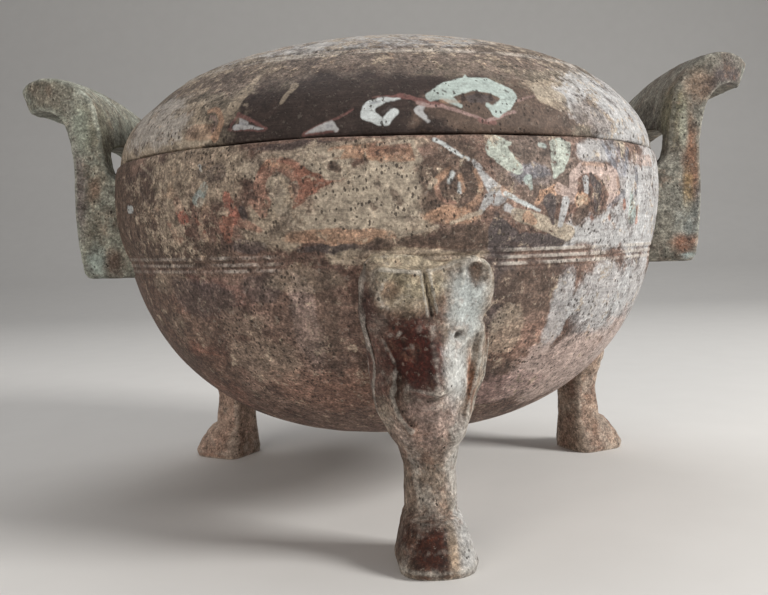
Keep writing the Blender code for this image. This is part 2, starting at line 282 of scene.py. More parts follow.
# %% Unroll the pot
SHEET_RADIUS = 108.0
graph, place = new_group("unrolled sheet", "Sheet", Place=())
across, deep, up = graph.axes(place)
turn = graph.math("ARCTAN2", across, graph.math("ABSOLUTE", deep - AXIS_Y))
flat = graph.node("ShaderNodeCombineXYZ", (turn * SHEET_RADIUS, up * (1.0 / MM)))
shake = graph.cloud(place, 160.0, 3.0, 0.6, output="Color")
shake = graph.scaled(graph.vector("SUBTRACT", shake, (0.5, 0.5, 0.5)), 2.2)
graph.give(Sheet=graph.vector("ADD", flat, shake))

# %% [markdown]
# Three brush marks draw everything: a stroke, a curl and a soft patch. A stroke is all the places
# nearer than its width to a line. The width may change along it, so a stroke that ends at nothing
# is a wedge. A curl is the same about an arc whose radius may also change.

# %% Brush marks
EDGE = 0.35
graph, sheet, start, end, start_width, end_width = new_group(
    "brush stroke", "Paint", Sheet=(), Start=(), End=(), Start_Width=1.0, End_Width=1.0)
along = graph.vector("SUBTRACT", end, start)
away = graph.vector("SUBTRACT", sheet, start)
share = graph.math("DIVIDE", graph.vector("DOT_PRODUCT", away, along),
                   graph.vector("DOT_PRODUCT", along, along))
share = graph.math("MINIMUM", graph.math("MAXIMUM", share, 0.0), 1.0)
gap = graph.vector("LENGTH", graph.vector("SUBTRACT", away, graph.scaled(along, share)))
graph.give(Paint=(share.between(start_width, end_width) - gap).rise(-EDGE, EDGE))

graph, sheet, centre, start, end, first_turn, sweep, start_width, end_width = new_group(
    "brush curl", "Paint", Sheet=(), Centre=(), Start_Radius=5.0, End_Radius=5.0,
    Start_Turn=0.0, Sweep=270.0, Start_Width=1.0, End_Width=1.0)
away = graph.vector("SUBTRACT", sheet, centre)
right, high, _ = graph.axes(away)
angle = graph.math("ARCTAN2", high, right) * (180.0 / math.pi) - first_turn
share = graph.math("DIVIDE", graph.math("WRAP", angle, 360.0, 0.0), sweep)
held = graph.math("MINIMUM", share, 1.0)
gap = graph.math("ABSOLUTE", graph.vector("LENGTH", away) - held.between(start, end))
mark = (held.between(start_width, end_width) - gap).rise(-EDGE, EDGE)
graph.give(Paint=mark * graph.math("LESS_THAN", share, 1.0))

graph, sheet, centre, size, cloud, raggedness, softness = new_group(
    "soft patch", "Paint", Sheet=(), Centre=(), Size=(), Cloud=0.5, Raggedness=0.8, Softness=0.3)
away = graph.vector("DIVIDE", graph.vector("SUBTRACT", sheet, centre), size)
inside = 1.0 - graph.vector("LENGTH", away) + (cloud - 0.5) * raggedness
graph.give(Paint=inside.rise(softness * -1.0, softness))
print("brush marks ready")

# %% [markdown]
# Four more groups give the skin of old clay. "Worn clay" mixes two close colours in clouds. "Crust"
# is the mineral bloom of burial, in ragged islands with a real thickness. "Root marks" are small
# dark pits. "Speckle" is grit and flecks. Its height never reads the colour, or the bump would draw
# every layer three times over.

# %% Skin of old clay
graph, place, dark, light, scale, balance = new_group(
    "worn clay", "Color", Place=(), Dark=(0.07, 0.05, 0.04, 1.0), Light=(0.2, 0.16, 0.12, 1.0),
    Scale=60.0, Balance=0.5)
fine = graph.cloud(place, 900.0, 4.0, 0.7)
blend = graph.cloud(place, scale, 5.0, 0.62, 0.4) + (fine - 0.5) * 0.3 + (balance - 0.5)
graph.give(Color=graph.mix(blend.rise(0.28, 0.72), dark, light))

graph, place, cover = new_group("crust", "Mask Color Height", Place=(), Cover=0.5)
grit = graph.cloud(place, 620.0, 3.0, 0.65)
level = graph.cloud(place, 150.0, 6.0, 0.72, 0.4) * 0.8 + grit * 0.2
limit = 0.78 - cover * 0.56
mask = level.rise(limit - 0.03, limit + 0.035)
stain = graph.cloud(place, 95.0, 4.0, 0.6).rise(0.54, 0.66)
shade = graph.mix(stain * 0.6, (0.40, 0.33, 0.25), (0.27, 0.16, 0.10))
shade = graph.mix(grit.rise(0.60, 0.40) * 0.5, shade, (0.14, 0.105, 0.085))
graph.give(Mask=mask, Color=shade, Height=mask * (grit + 0.6))

graph, place, amount = new_group("root marks", "Mask", Place=(), Amount=0.5)
tilted = graph.node("ShaderNodeMapping", {"Vector": place, "Rotation": (0.1, 0.05, 0.5),
                                          "Scale": (1.0, 1.0, 0.7)})
shade, away = graph.node("ShaderNodeTexVoronoi", {"Vector": tilted, "Scale": 950.0},
                         ("Color", "Distance"))
lottery, girth, _ = graph.axes(shade)
chance = amount * graph.cloud(place, 55.0, 3.0, 0.6).rise(0.40, 0.60)
size = graph.math("LESS_THAN", lottery, chance) * (girth * 0.36 + 0.17)
away = away + (graph.cloud(place, 1600.0, 2.0, 0.6) * 0.5 - 0.25)
graph.give(Mask=(size - away).rise(0.0, 0.14))

graph, place, color, amount = new_group("speckle", "Color Height", Place=(),
                                        Color=(0.2, 0.2, 0.2, 1.0), Amount=1.0)
level = graph.cloud(place, 1100.0, 3.0, 0.7) * 0.5 + graph.cloud(place, 300.0, 5.0, 0.7, 0.2) * 0.5
level = (level - 0.5) * amount
calmer = graph.node("ShaderNodeRGBToBW", (color,)).rise(0.2, 0.4).between(1.0, 0.55)
color = graph.vector("MULTIPLY", color, graph.math("POWER", 2.718, level * calmer * 7.0))
fleck = graph.cloud(place, 480.0, 4.0, 0.75)
dark_fleck = fleck.rise(0.60, 0.655) * amount
color = graph.mix(dark_fleck * calmer * 0.6, color, (0.05, 0.033, 0.027))
pale_fleck = fleck.rise(0.41, 0.355) * amount
color = graph.mix(pale_fleck * calmer * 0.3, color, (0.42, 0.37, 0.31))
graph.give(Color=color, Height=level - dark_fleck * 0.3)
print("clay groups ready")

# %% [markdown]
# ## Colours on the pot
# The painter had few pigments, all earths: chalk white, cream, orange ochre, red-brown and blue-
# grey. They are gathered here under names, as they sit on a palette. Pale, pink, rose, umber and
# red brown also lay painted highlight, painted shade and a painted red reflection in some patches.

# %% Pigments
# Some tones here also stand for light: pale and pink for painted highlight, umber for painted shade,
# red brown for a painted red reflection.
PIGMENT = {
    "white": (0.57, 0.61, 0.61), "sea white": (0.42, 0.49, 0.46), "sea grey": (0.45, 0.49, 0.43),
    "cream": (0.4, 0.34, 0.265), "ochre": (0.39, 0.24, 0.16), "pink": (0.45, 0.35, 0.31),
    "rose": (0.34, 0.23, 0.21), "plum": (0.21, 0.1, 0.09), "red": (0.33, 0.13, 0.095),
    "red brown": (0.25, 0.12, 0.085), "rust": (0.33, 0.19, 0.14), "blue grey": (0.19, 0.195, 0.22),
    "slate": (0.075, 0.06, 0.058), "soot": (0.034, 0.023, 0.02), "umber": (0.105, 0.072, 0.055),
    "taupe": (0.15, 0.112, 0.092), "buff": (0.37, 0.305, 0.23), "pale": (0.46, 0.46, 0.46),
}
DEGREE = math.radians(1.0) * SHEET_RADIUS


def spot(turn, height):
    """A place on the unrolled sheet, from degrees round the front and a height in millimetres."""
    return (turn * DEGREE, height, 0.0)


def lay_patches(graph, color, sheet, ragged, patches):
    """Lay soft patches over a colour: pigment, turn, height, half width, half height, strength."""
    for pigment, turn, height, wide, tall, strength in patches:
        mask = graph.use("soft patch", Sheet=sheet, Centre=spot(turn, height), Cloud=ragged,
                         Size=(wide * DEGREE, tall, 1.0), Raggedness=1.7, Softness=0.16)
        color = graph.mix(mask * strength, color, PIGMENT[pigment])
    return color


CURL_SIZES = ("Start_Radius", "End_Radius", "Start_Turn", "Sweep", "Start_Width", "End_Width")


def brush(graph, sheet, sizes):
    """The masks of one mark: of each part of a stroke, or of a curl."""
    if len(sizes) == 2 + len(CURL_SIZES):
        return [graph.use("brush curl", Sheet=sheet, Centre=spot(*sizes[:2]),
                          **dict(zip(CURL_SIZES, sizes[2:])))]
    points = list(zip(sizes[::3], sizes[1::3], sizes[2::3]))
    return [graph.use("brush stroke", Sheet=sheet, Start=spot(*start[:2]), End=spot(*end[:2]),
                      Start_Width=start[2], End_Width=end[2])
            for start, end in zip(points, points[1:])]


def lay_marks(graph, color, sheet, worn, marks):
    """Lay brush marks over a colour, each thinned where the paint is worn."""
    for pigment, strength, *sizes in marks:
        for mask in brush(graph, sheet, sizes):
            color = graph.mix(mask * strength * worn, color, PIGMENT[pigment])
    return color


print(len(PIGMENT), "pigments")

# %% [markdown]
# The band between the seam and the incised belt carries cloud scrolls: fat curls with a hooked end,
# set between slanting bars that cross like a lattice. Below is its cartoon, the broad faded areas
# first; the umber area at the far left is painted shade and the pale ones at the right end are a
# painted highlight. A stroke is a pigment, a strength, then turn, height and half width at each
# point. A curl is a centre, two radii, the turn where it starts, its sweep and two half widths.

# %% The cartoon of the painted band
BAND_PATCHES = (
    # Painted shade: the umber area at turn -66 darkens the far left end.
    ("umber", -66, 122, 13, 18, 0.85), ("slate", -49, 123, 8, 7, 0.6),
    ("taupe", -42, 127, 6, 6, 0.6), ("buff", -33, 125, 12, 9, 0.65), ("buff", -46, 112, 9, 8, 0.5),
    ("umber", -50, 101, 14, 6, 0.9), ("umber", -37, 99, 12, 5, 0.85), ("slate", -30, 125, 3, 3, 0.6),
    ("slate", -14, 131.5, 8, 1.5, 0.7), ("buff", -19, 108, 6, 9, 0.9),
    ("buff", -4, 112, 12, 13, 0.7), ("cream", -5, 110, 10, 8, 1), ("cream", 0, 119, 6, 9, 1),
    ("cream", -9, 127, 4, 4, 0.9), ("cream", -17, 125, 8, 6, 0.7), ("buff", -2, 131, 9, 2, 0.6),
    ("slate", -24, 101, 4, 2.4, 0.7), ("slate", -8, 99.8, 7, 1.8, 0.9),
    ("umber", 3, 100.6, 8, 2.4, 0.85), ("ochre", -9, 103.6, 8, 2.4, 0.85),
    ("buff", 2, 96.6, 13, 2.6, 0.9), ("umber", 10, 121, 5.5, 12, 0.9),
    ("umber", 9, 113, 4.5, 6, 0.9), ("ochre", 10, 108.6, 4.2, 3, 0.8),
    ("umber", 11.5, 101.5, 5, 4.5, 0.95), ("taupe", 24, 125, 9, 9, 0.95),
    ("blue grey", 23.5, 121, 4, 4, 0.7), ("taupe", 26, 116, 5, 5, 0.7),
    # Painted highlight: the pale areas from turn 38 round to 60 lighten the lit right end.
    ("slate", 26, 100, 8, 2.6, 1), ("buff", 36, 102, 6, 3, 0.5), ("pale", 38, 129, 5, 5, 0.8),
    ("pale", 47, 103, 14, 8, 0.9), ("pale", 60, 115, 13, 20, 0.9), ("pale", 49, 119, 6, 8, 0.6),
    ("blue grey", 44, 127, 4, 6, 0.5), ("umber", -51, 113, 9, 16, 0.9),
)
BAND_MARKS = (
    # The lattice of slanting bars
    ("cream", 0.7, -50, 131, 0.5, -40, 120, 0.6), ("white", 0.9, 7.2, 131.8, 0.7, 12.4, 125.6, 0.5),
    ("pale", 1, 13.2, 125, 0.5, 15.6, 118.6, 1.6, 17.4, 114.4, 3),
    ("ochre", 0.8, 18, 116.6, 1, 18.6, 114.8, 1.1), ("white", 0.9, 18.6, 115, 0.8, 24.8, 109.6, 0.5),
    ("pale", 0.9, 15.6, 113.4, 1.5, 14.4, 109.6, 0.8),
    ("cream", 0.85, 14.4, 109.6, 0.8, 9.6, 106.2, 0.5),
    ("cream", 0.8, 7.4, 105.4, 0.7, 1.2, 102.8, 0.6),
    # The dark hill between the bars, and the cream bank beside it
    ("slate", 1, 17.2, 109.2, 0.7, 17.6, 104, 3.4), ("slate", 1, 17.6, 104, 3.6, 18.6, 100.6, 5.6),
    ("slate", 1, 18, 100.4, 2.6, 30.5, 99.6, 1.4), ("pale", 0.9, 18.9, 110.8, 1.2, 20, 109.6, 1.2),
    ("cream", 0.95, 20.6, 108.8, 1.9, 31.6, 102.2, 2.6),
    ("ochre", 0.8, 22.6, 107.8, 1.7, 24, 106, 1.3),
    # The red curl on the left, with its cream eye
    ("rust", 1, -17.2, 119.4, 6.2, 6.8, 15, 225, 2.8, 1.7),
    ("red brown", 0.7, -17.2, 119.4, 7.4, 8, 20, 130, 0.9, 0.6),
    ("red brown", 1, -13.6, 122.6, 2.4, -12.2, 119.4, 3.2),
    ("red brown", 1, -12.4, 120.2, 3, -7.2, 120.8, 0.6),
    ("red brown", 0.9, -12.8, 118, 2.2, -15.2, 112.6, 0.5),
    ("rust", 0.8, -22.4, 114.8, 1.3, -20.4, 111.6, 1.9),
    ("ochre", 0.6, -19.4, 126.6, 1, -15.6, 125, 0.9),
    ("buff", 1, -17.8, 120.4, 2.8, -16.8, 117.2, 3.3),
    ("cream", 1, -18.2, 120.6, 1.8, -17.4, 116.6, 2.3),
    ("umber", 0.8, -15.4, 119.8, 0.6, -15, 118, 0.5),
    ("cream", 0.8, -18.4, 116.4, 1.6, -16.6, 110, 2.4),
    ("ochre", 0.6, -15.6, 118.8, 0.5, -15.2, 115.6, 0.5),
    # Orange cloud and cream curls at the top of the middle
    ("ochre", 0.85, -8.4, 128.8, 1.8, -1, 128.6, 2.9),
    ("red brown", 0.55, -2, 129, 2.2, 3, 128.2, 2.7), ("ochre", 0.7, -1, 127, 1.8, 3.6, 127.4, 2),
    ("cream", 0.85, -1.6, 130.6, 0.6, 3.8, 131.2, 0.6),
    ("cream", 0.85, 3.8, 131.2, 0.7, 4.6, 125.6, 1),
    ("cream", 0.9, -8.2, 124.6, 4, 3.4, 60, 300, 1.3, 1),
    ("umber", 0.9, -8.6, 124.8, 1.6, -7.8, 123.6, 1.3),
    ("umber", 0.7, 0.4, 116.4, 0.9, 1.6, 113.2, 1.3),
    ("umber", 0.7, -3.2, 113.4, 0.7, -2.4, 111.6, 0.9),
    ("umber", 0.5, -1.8, 121, 0.6, -1.6, 117.4, 0.9),
    # Broken red and blue on the left
    ("red", 0.85, -38.2, 116.4, 1.9, -37, 111, 2.6), ("rust", 0.8, -41, 109.6, 1.2, -39, 104.6, 2),
    ("red", 0.85, -27, 117, 1.7, -26, 110.6, 2.5), ("rust", 0.8, -24.6, 108.8, 1.6, -21.4, 106, 1),
    ("umber", 0.6, -47, 118, 5.6, 6.4, 20, 200, 1.2, 0.8),
    ("taupe", 0.8, -50, 122.4, 0.8, -44, 112.6, 1.2),
    ("red brown", 1, -27.6, 108.6, 3, -27.8, 103.6, 1.6),
    ("red brown", 0.8, -33.8, 110.6, 0.7, -32.4, 105.4, 1),
    ("slate", 0.9, -24.2, 112.6, 1.2, -24, 110.8, 1.2),
    ("white", 0.85, -32.5, 127.2, 0.6, -32, 125.6, 0.4),
    ("sea white", 0.9, -31.4, 120.6, 1.5, -33, 116.4, 2.2),
    ("white", 0.6, -32.8, 118, 0.7, -32.4, 116.2, 0.5),
    ("white", 0.75, -56, 115.8, 1.2, -54, 115.8, 1.2),
    # Small flame between the middle and the lattice
    ("ochre", 0.65, 10.2, 117, 7.2, 8, -120, 165, 1.2, 0.7),
    ("rust", 0.5, 10, 117.6, 4.8, 5.2, 130, 150, 0.9, 0.6),
    ("ochre", 0.9, 9.4, 123, 0.6, 7, 118.8, 1.2), ("cream", 0.8, 7, 119.2, 1, 6.2, 117.2, 0.6),
    ("white", 0.85, 9.8, 121.4, 0.9, 9.2, 118.8, 0.6),
    ("ochre", 0.9, 11, 120.6, 0.8, 11.6, 116.6, 0.9),
    ("white", 0.8, 10.9, 118.6, 0.5, 11, 116.2, 0.7),
    # Two facing commas
    ("sea grey", 1, 17.5, 129, 4, 18.4, 126.4, 3, 20.8, 122.4, 1.7),
    ("sea grey", 1, 17.8, 131, 1, 19.8, 130.8, 0.8),
    ("sea grey", 1, 29.4, 128.8, 4, 28.6, 124.6, 3.1),
    ("sea grey", 1, 28.6, 124.6, 3, 27.9, 120.2, 0.8),
    ("sea grey", 1, 27.8, 131, 0.8, 31.2, 131, 0.8),
    ("sea white", 0.8, 25.3, 130.2, 0.7, 26.2, 129.8, 0.9),
    ("sea white", 0.9, 22.6, 119.4, 1.6, 23.3, 116.4, 0.6),
    # The large orange curl on the right, with a slate crescent inside
    ("pink", 1, 31.8, 120.4, 1.7, 33.6, 123.2, 2, 38.2, 123.4, 2.2),
    ("pink", 1, 38.2, 123.2, 2.4, 41.6, 119.8, 4.2), ("pink", 1, 41.6, 119.8, 4.4, 42.4, 115.6, 3.4),
    ("pink", 0.95, 42.4, 115.6, 2.8, 40.6, 111.2, 0.8),
    ("pink", 0.8, 31.8, 119.6, 1.6, 31.6, 113.6, 1.8),
    ("ochre", 0.5, 34, 124.4, 0.7, 39, 124.6, 0.8), ("ochre", 0.5, 43.4, 120, 0.9, 43.8, 115.4, 0.9),
    ("slate", 1, 35.8, 120.6, 1.1, 37.6, 117, 1.7), ("slate", 1, 37.6, 117, 1.8, 37.4, 110.4, 1.3),
    ("pale", 0.95, 34.4, 119.4, 1.3, 34.8, 115.8, 1.2),
    ("ochre", 0.95, 33.4, 113, 2.6, 34.4, 112.6, 2.6),
    ("ochre", 0.9, 24.3, 112.2, 0.8, 25.6, 114.8, 1.4, 28.6, 116.4, 1.7),
    ("pink", 0.9, 28.6, 116.4, 1.7, 30.6, 115, 1.6),
    ("slate", 1, 26.9, 112.4, 2.6, 27.9, 105.6, 0.6),
    ("pale", 0.95, 30.2, 112.6, 1.5, 29.5, 105.2, 1.1),
    ("umber", 0.9, 34.2, 108.8, 2.6, 33, 106.6, 2.2),
    # Slate bars, root holes and drips near the right ear
    ("blue grey", 0.8, 40.2, 131.6, 1.4, 42.6, 124.6, 1.2),
    ("cream", 0.9, 46.4, 132.6, 2, 45.4, 128, 0.6),
    ("blue grey", 0.75, 48, 130.6, 1.1, 45.6, 122, 0.8),
    ("blue grey", 0.75, 50.6, 124, 1.3, 50.4, 115.6, 1),
    ("blue grey", 0.6, 45.6, 115.6, 1.4, 41, 110.6, 0.8),
    ("pink", 0.85, 50.2, 127.4, 1.6, 59, 127.8, 2.3), ("slate", 0.9, 41.2, 132, 1, 41.6, 130.6, 1.1),
    ("red brown", 0.9, 45.9, 113, 0.9, 46.2, 110.4, 1),
    ("red brown", 0.8, 51.4, 110.6, 0.8, 52, 105.8, 1.3),
    ("red brown", 0.8, 41.7, 107.4, 0.8, 41.9, 106.8, 0.8),
    ("red brown", 0.8, 36.4, 107.4, 0.8, 36.7, 107, 0.8),
    ("sea white", 0.9, 48.4, 115.2, 1, 49.8, 108, 3.4),
)
BELLY_PATCHES = (
    # Painted shade and a painted red reflection: the umber and red brown areas at the far left.
    ("red brown", -56, 66, 16, 26, 0.5), ("umber", -60, 74, 14, 26, 0.75),
    ("buff", -46, 89, 8, 4, 0.45), ("plum", -36, 84, 10, 8, 0.35), ("slate", -38, 84, 8, 7, 0.75),
    ("buff", -46, 73, 8, 6, 0.2), ("buff", -30, 76, 6, 5, 0.25), ("umber", -42, 78, 13, 12, 0.45),
    ("umber", -48, 58, 12, 6, 0.6), ("buff", -27, 63, 9, 9, 0.3), ("pink", -16, 74, 3, 16, 0.4),
    ("slate", -23, 88, 4, 5, 0.6), ("buff", -15, 90, 8, 4, 0.4), ("umber", -18, 71, 8, 9, 0.35),
    # Painted shadow: the narrow umber strip at turn -11.5, beside the front leg's head.
    ("rust", -16, 52, 14, 9, 0.4), ("umber", -11.5, 76, 2, 20, 0.6), ("slate", 18, 84, 4.5, 12, 0.8),
    ("umber", 26, 84, 7, 10, 0.8), ("rust", 27, 66, 7, 9, 0.4), ("buff", 22, 72, 4, 8, 0.5),
    # Painted highlight: the pale and pink areas from turn 33 round to 60, and the rose one low at
    # turn 26.
    ("umber", 20, 58, 8, 4, 0.6), ("pale", 33, 77, 3, 14, 0.7), ("pale", 45, 80, 10, 14, 0.8),
    ("slate", 38.5, 68, 1.6, 9, 0.5), ("pink", 42, 54, 16, 13, 0.9), ("rose", 26, 50, 12, 6, 0.6),
    ("pale", 60, 74, 12, 20, 0.8), ("pink", 58, 54, 14, 18, 0.8),
)
print(len(BAND_MARKS), "marks on the band")

# %% [markdown]
# ## The finish of the bowl
# All the layers come together in one material, in the order of time: slip, faded ground, paint,
# wear, crust, root marks. Some broad patches and the turned lines also carry painted highlight and
# painted shade. The height that feeds the bump follows the same masks, so the crust stands proud
# and root marks are small pits.

# %% Materials of the turned pieces
def start_material(name):
    """A new material: returns it, its graph and the object place."""
    material = bpy.data.materials.new(name)
    material.use_nodes = True
    graph = Graph(material.node_tree)
    return material, graph, graph.node("ShaderNodeTexCoord", (), ("Object",))


def finish_material(graph, color, roughness, height):
    """Feed the shader: colour, roughness, and a bump from a height in millimetres."""
    bump = graph.node("ShaderNodeBump", {"Strength": 0.5, "Distance": 0.0008, "Height": height})
    shader = graph.tree.nodes["Principled BSDF"]
    for label, value in (("Base Color", color), ("Roughness", roughness), ("Normal", bump),
                         ("Specular IOR Level", 0.35)):
        graph.put(shader.inputs[label], value)


LINE_FADE = 3.0


def line_dirt_and_painted_light(graph, color, place, sheet, ragged, lines):
    """Lay pale clay and painted highlight on turned ridges, and dirt and painted shade in grooves:
    height, half width, strength, colour, span.
    """
    across, height, patchy = graph.axes(sheet)[0], graph.axes(place)[2], ragged.rise(0.34, 0.56)
    for line, half_width, strength, tone, (start, end) in lines:
        away = graph.math("ABSOLUTE", height - line)
        mask = away.rise(half_width, 0.3 * half_width) * patchy
        mask = mask * across.rise(start - LINE_FADE, start + LINE_FADE)
        mask = mask * across.rise(end + LINE_FADE, end - LINE_FADE)
        color = graph.mix(mask * strength, color, tone)
    return color


# Ridges take pale clay with a painted highlight, and grooves take dirt with painted shade.
RIDGE_PALE_AND_HIGHLIGHT, GROOVE_DIRT_AND_SHADE = (0.50, 0.46, 0.41), (0.05, 0.035, 0.028)
RIGHT, LEFT, FAR_LEFT, ALL_ROUND = (36.0, 180.0), (-57.0, -37.0), (-180.0, -57.0), (-180.0, 180.0)
BELT_LINES = tuple((height, half_width, strength, tone, span)
                   for heights, half_width, tone, strengths in
                   (((0.0976, 0.09535, 0.0933), 0.0008, RIDGE_PALE_AND_HIGHLIGHT, (0.75, 0.8, 0.3)),
                    ((0.0965, 0.0944), 0.0005, GROOVE_DIRT_AND_SHADE, (0.3, 0.9, 0.3)))
                   for height in heights
                   for strength, span in zip(strengths, (RIGHT, LEFT, FAR_LEFT)))
RING_LINES = ((0.1642, 0.0013, 0.45, RIDGE_PALE_AND_HIGHLIGHT, ALL_ROUND),
              (0.1662, 0.0012, 0.4, GROOVE_DIRT_AND_SHADE, ALL_ROUND))


def turned_material(name, patches, marks, dark, light, crust_cover, root_marks, lines):
    """The layered finish of a turned piece."""
    material, graph, place = start_material(name)
    sheet = graph.use("unrolled sheet", Place=place)
    ragged = graph.cloud(place, 75.0, 5.0, 0.65)
    color = graph.use("worn clay", Place=place, Dark=dark, Light=light, Scale=48.0)
    color = lay_patches(graph, color, sheet, ragged, patches)
    worn = (ragged * 0.35 + graph.cloud(place, 420.0, 4.0, 0.7) * 0.65).rise(0.36, 0.45)
    color = lay_marks(graph, color, sheet, worn, marks)
    cover, calm = crust_cover(graph, sheet, ragged)
    crust, crust_color, thickness = graph.use("crust", Place=place, Cover=cover)
    color = graph.mix(crust * 0.75, color, crust_color)
    grime = graph.cloud(place, 120.0, 6.0, 0.7, 0.3).rise(0.53, 0.63)
    color = graph.mix(grime * calm * 0.55, color, (0.065, 0.042, 0.035))
    # Painted highlight on the turned ridges, and dirt with painted shade in their grooves.
    color = line_dirt_and_painted_light(graph, color, place, sheet, ragged, lines)
    strokes = graph.cloud(graph.vector("MULTIPLY", sheet, (0.035, 1.1, 0.0)), 1.0, 4.0, 0.65)
    color = graph.mix(strokes.rise(0.42, 0.72) * 0.35 * calm, color, (0.12, 0.09, 0.075))
    color, grain = graph.use("speckle", Place=place, Color=color, Amount=calm)
    holes = graph.use("root marks", Place=place, Amount=root_marks)
    color = graph.mix(holes * 0.8, color, (0.03, 0.022, 0.018))
    height = thickness * 0.3 + grain * 0.6 - holes * 0.7 + strokes * 0.25
    finish_material(graph, color, crust * 0.2 + 0.72, height)
    return material


def bowl_cover(graph, sheet, ragged):
    """Crust and speckle on the bowl: crust is thick on the band to the left, and thin elsewhere."""
    across, height, _ = graph.axes(sheet)
    band = height.rise(92.0, 102.0) * across.rise(-46.0, -68.0) * across.rise(-106.0, -78.0)
    return band * 0.17 + 0.35, 1.0


bowl_finish = turned_material("painted_clay_bowl", BAND_PATCHES + BELLY_PATCHES, BAND_MARKS,
                              (0.09, 0.05, 0.038), (0.245, 0.165, 0.13), bowl_cover, 0.62,
                              BELT_LINES)
print("bowl finish", len(bowl_finish.node_tree.nodes), "nodes")

# %% [markdown]
# The lid keeps more of its dark slip. A smooth dark zone crosses the front, crust has taken both
# ends of it, a painted highlight lightens the lid's right end, and the crown is paler. A pale line
# and a dark line beside the turned ring are a painted highlight and painted shade. Its ornament is
# small: two wedges edged in red, a hooked comma, a thin red zigzag, and an arched cloud in sea
# white.

# %% The cartoon of the lid
LID_PATCHES = (
    ("taupe", -15, 162, 48, 11, 0.75), ("taupe", 35, 166, 20, 8, 0.5), ("soot", -10, 141, 21, 14, 1),
    ("soot", 3, 141, 19, 13, 1), ("umber", 23, 141, 15, 9, 1), ("buff", -48, 142, 19, 12, 1),
    ("cream", -46, 138, 16, 5, 0.8), ("pale", -52, 145, 14, 10, 0.45),
    ("ochre", -33, 139, 4, 3, 0.5), ("buff", 34, 148, 7, 6, 0.8), ("cream", 30, 148, 3, 3, 0.6),
    # Painted highlight: the pale area at turn 54 on the lid's right end.
    ("pale", 54, 145, 19, 17, 0.9), ("buff", -76, 144, 14, 14, 0.7), ("taupe", 40, 141, 5, 6, 0.6),
    ("buff", 10, 183, 90, 12, 1), ("cream", -50, 171, 40, 9, 0.8), ("buff", -22, 173, 22, 7, 0.7),
    ("pale", -20, 178, 70, 12, 0.75),
)
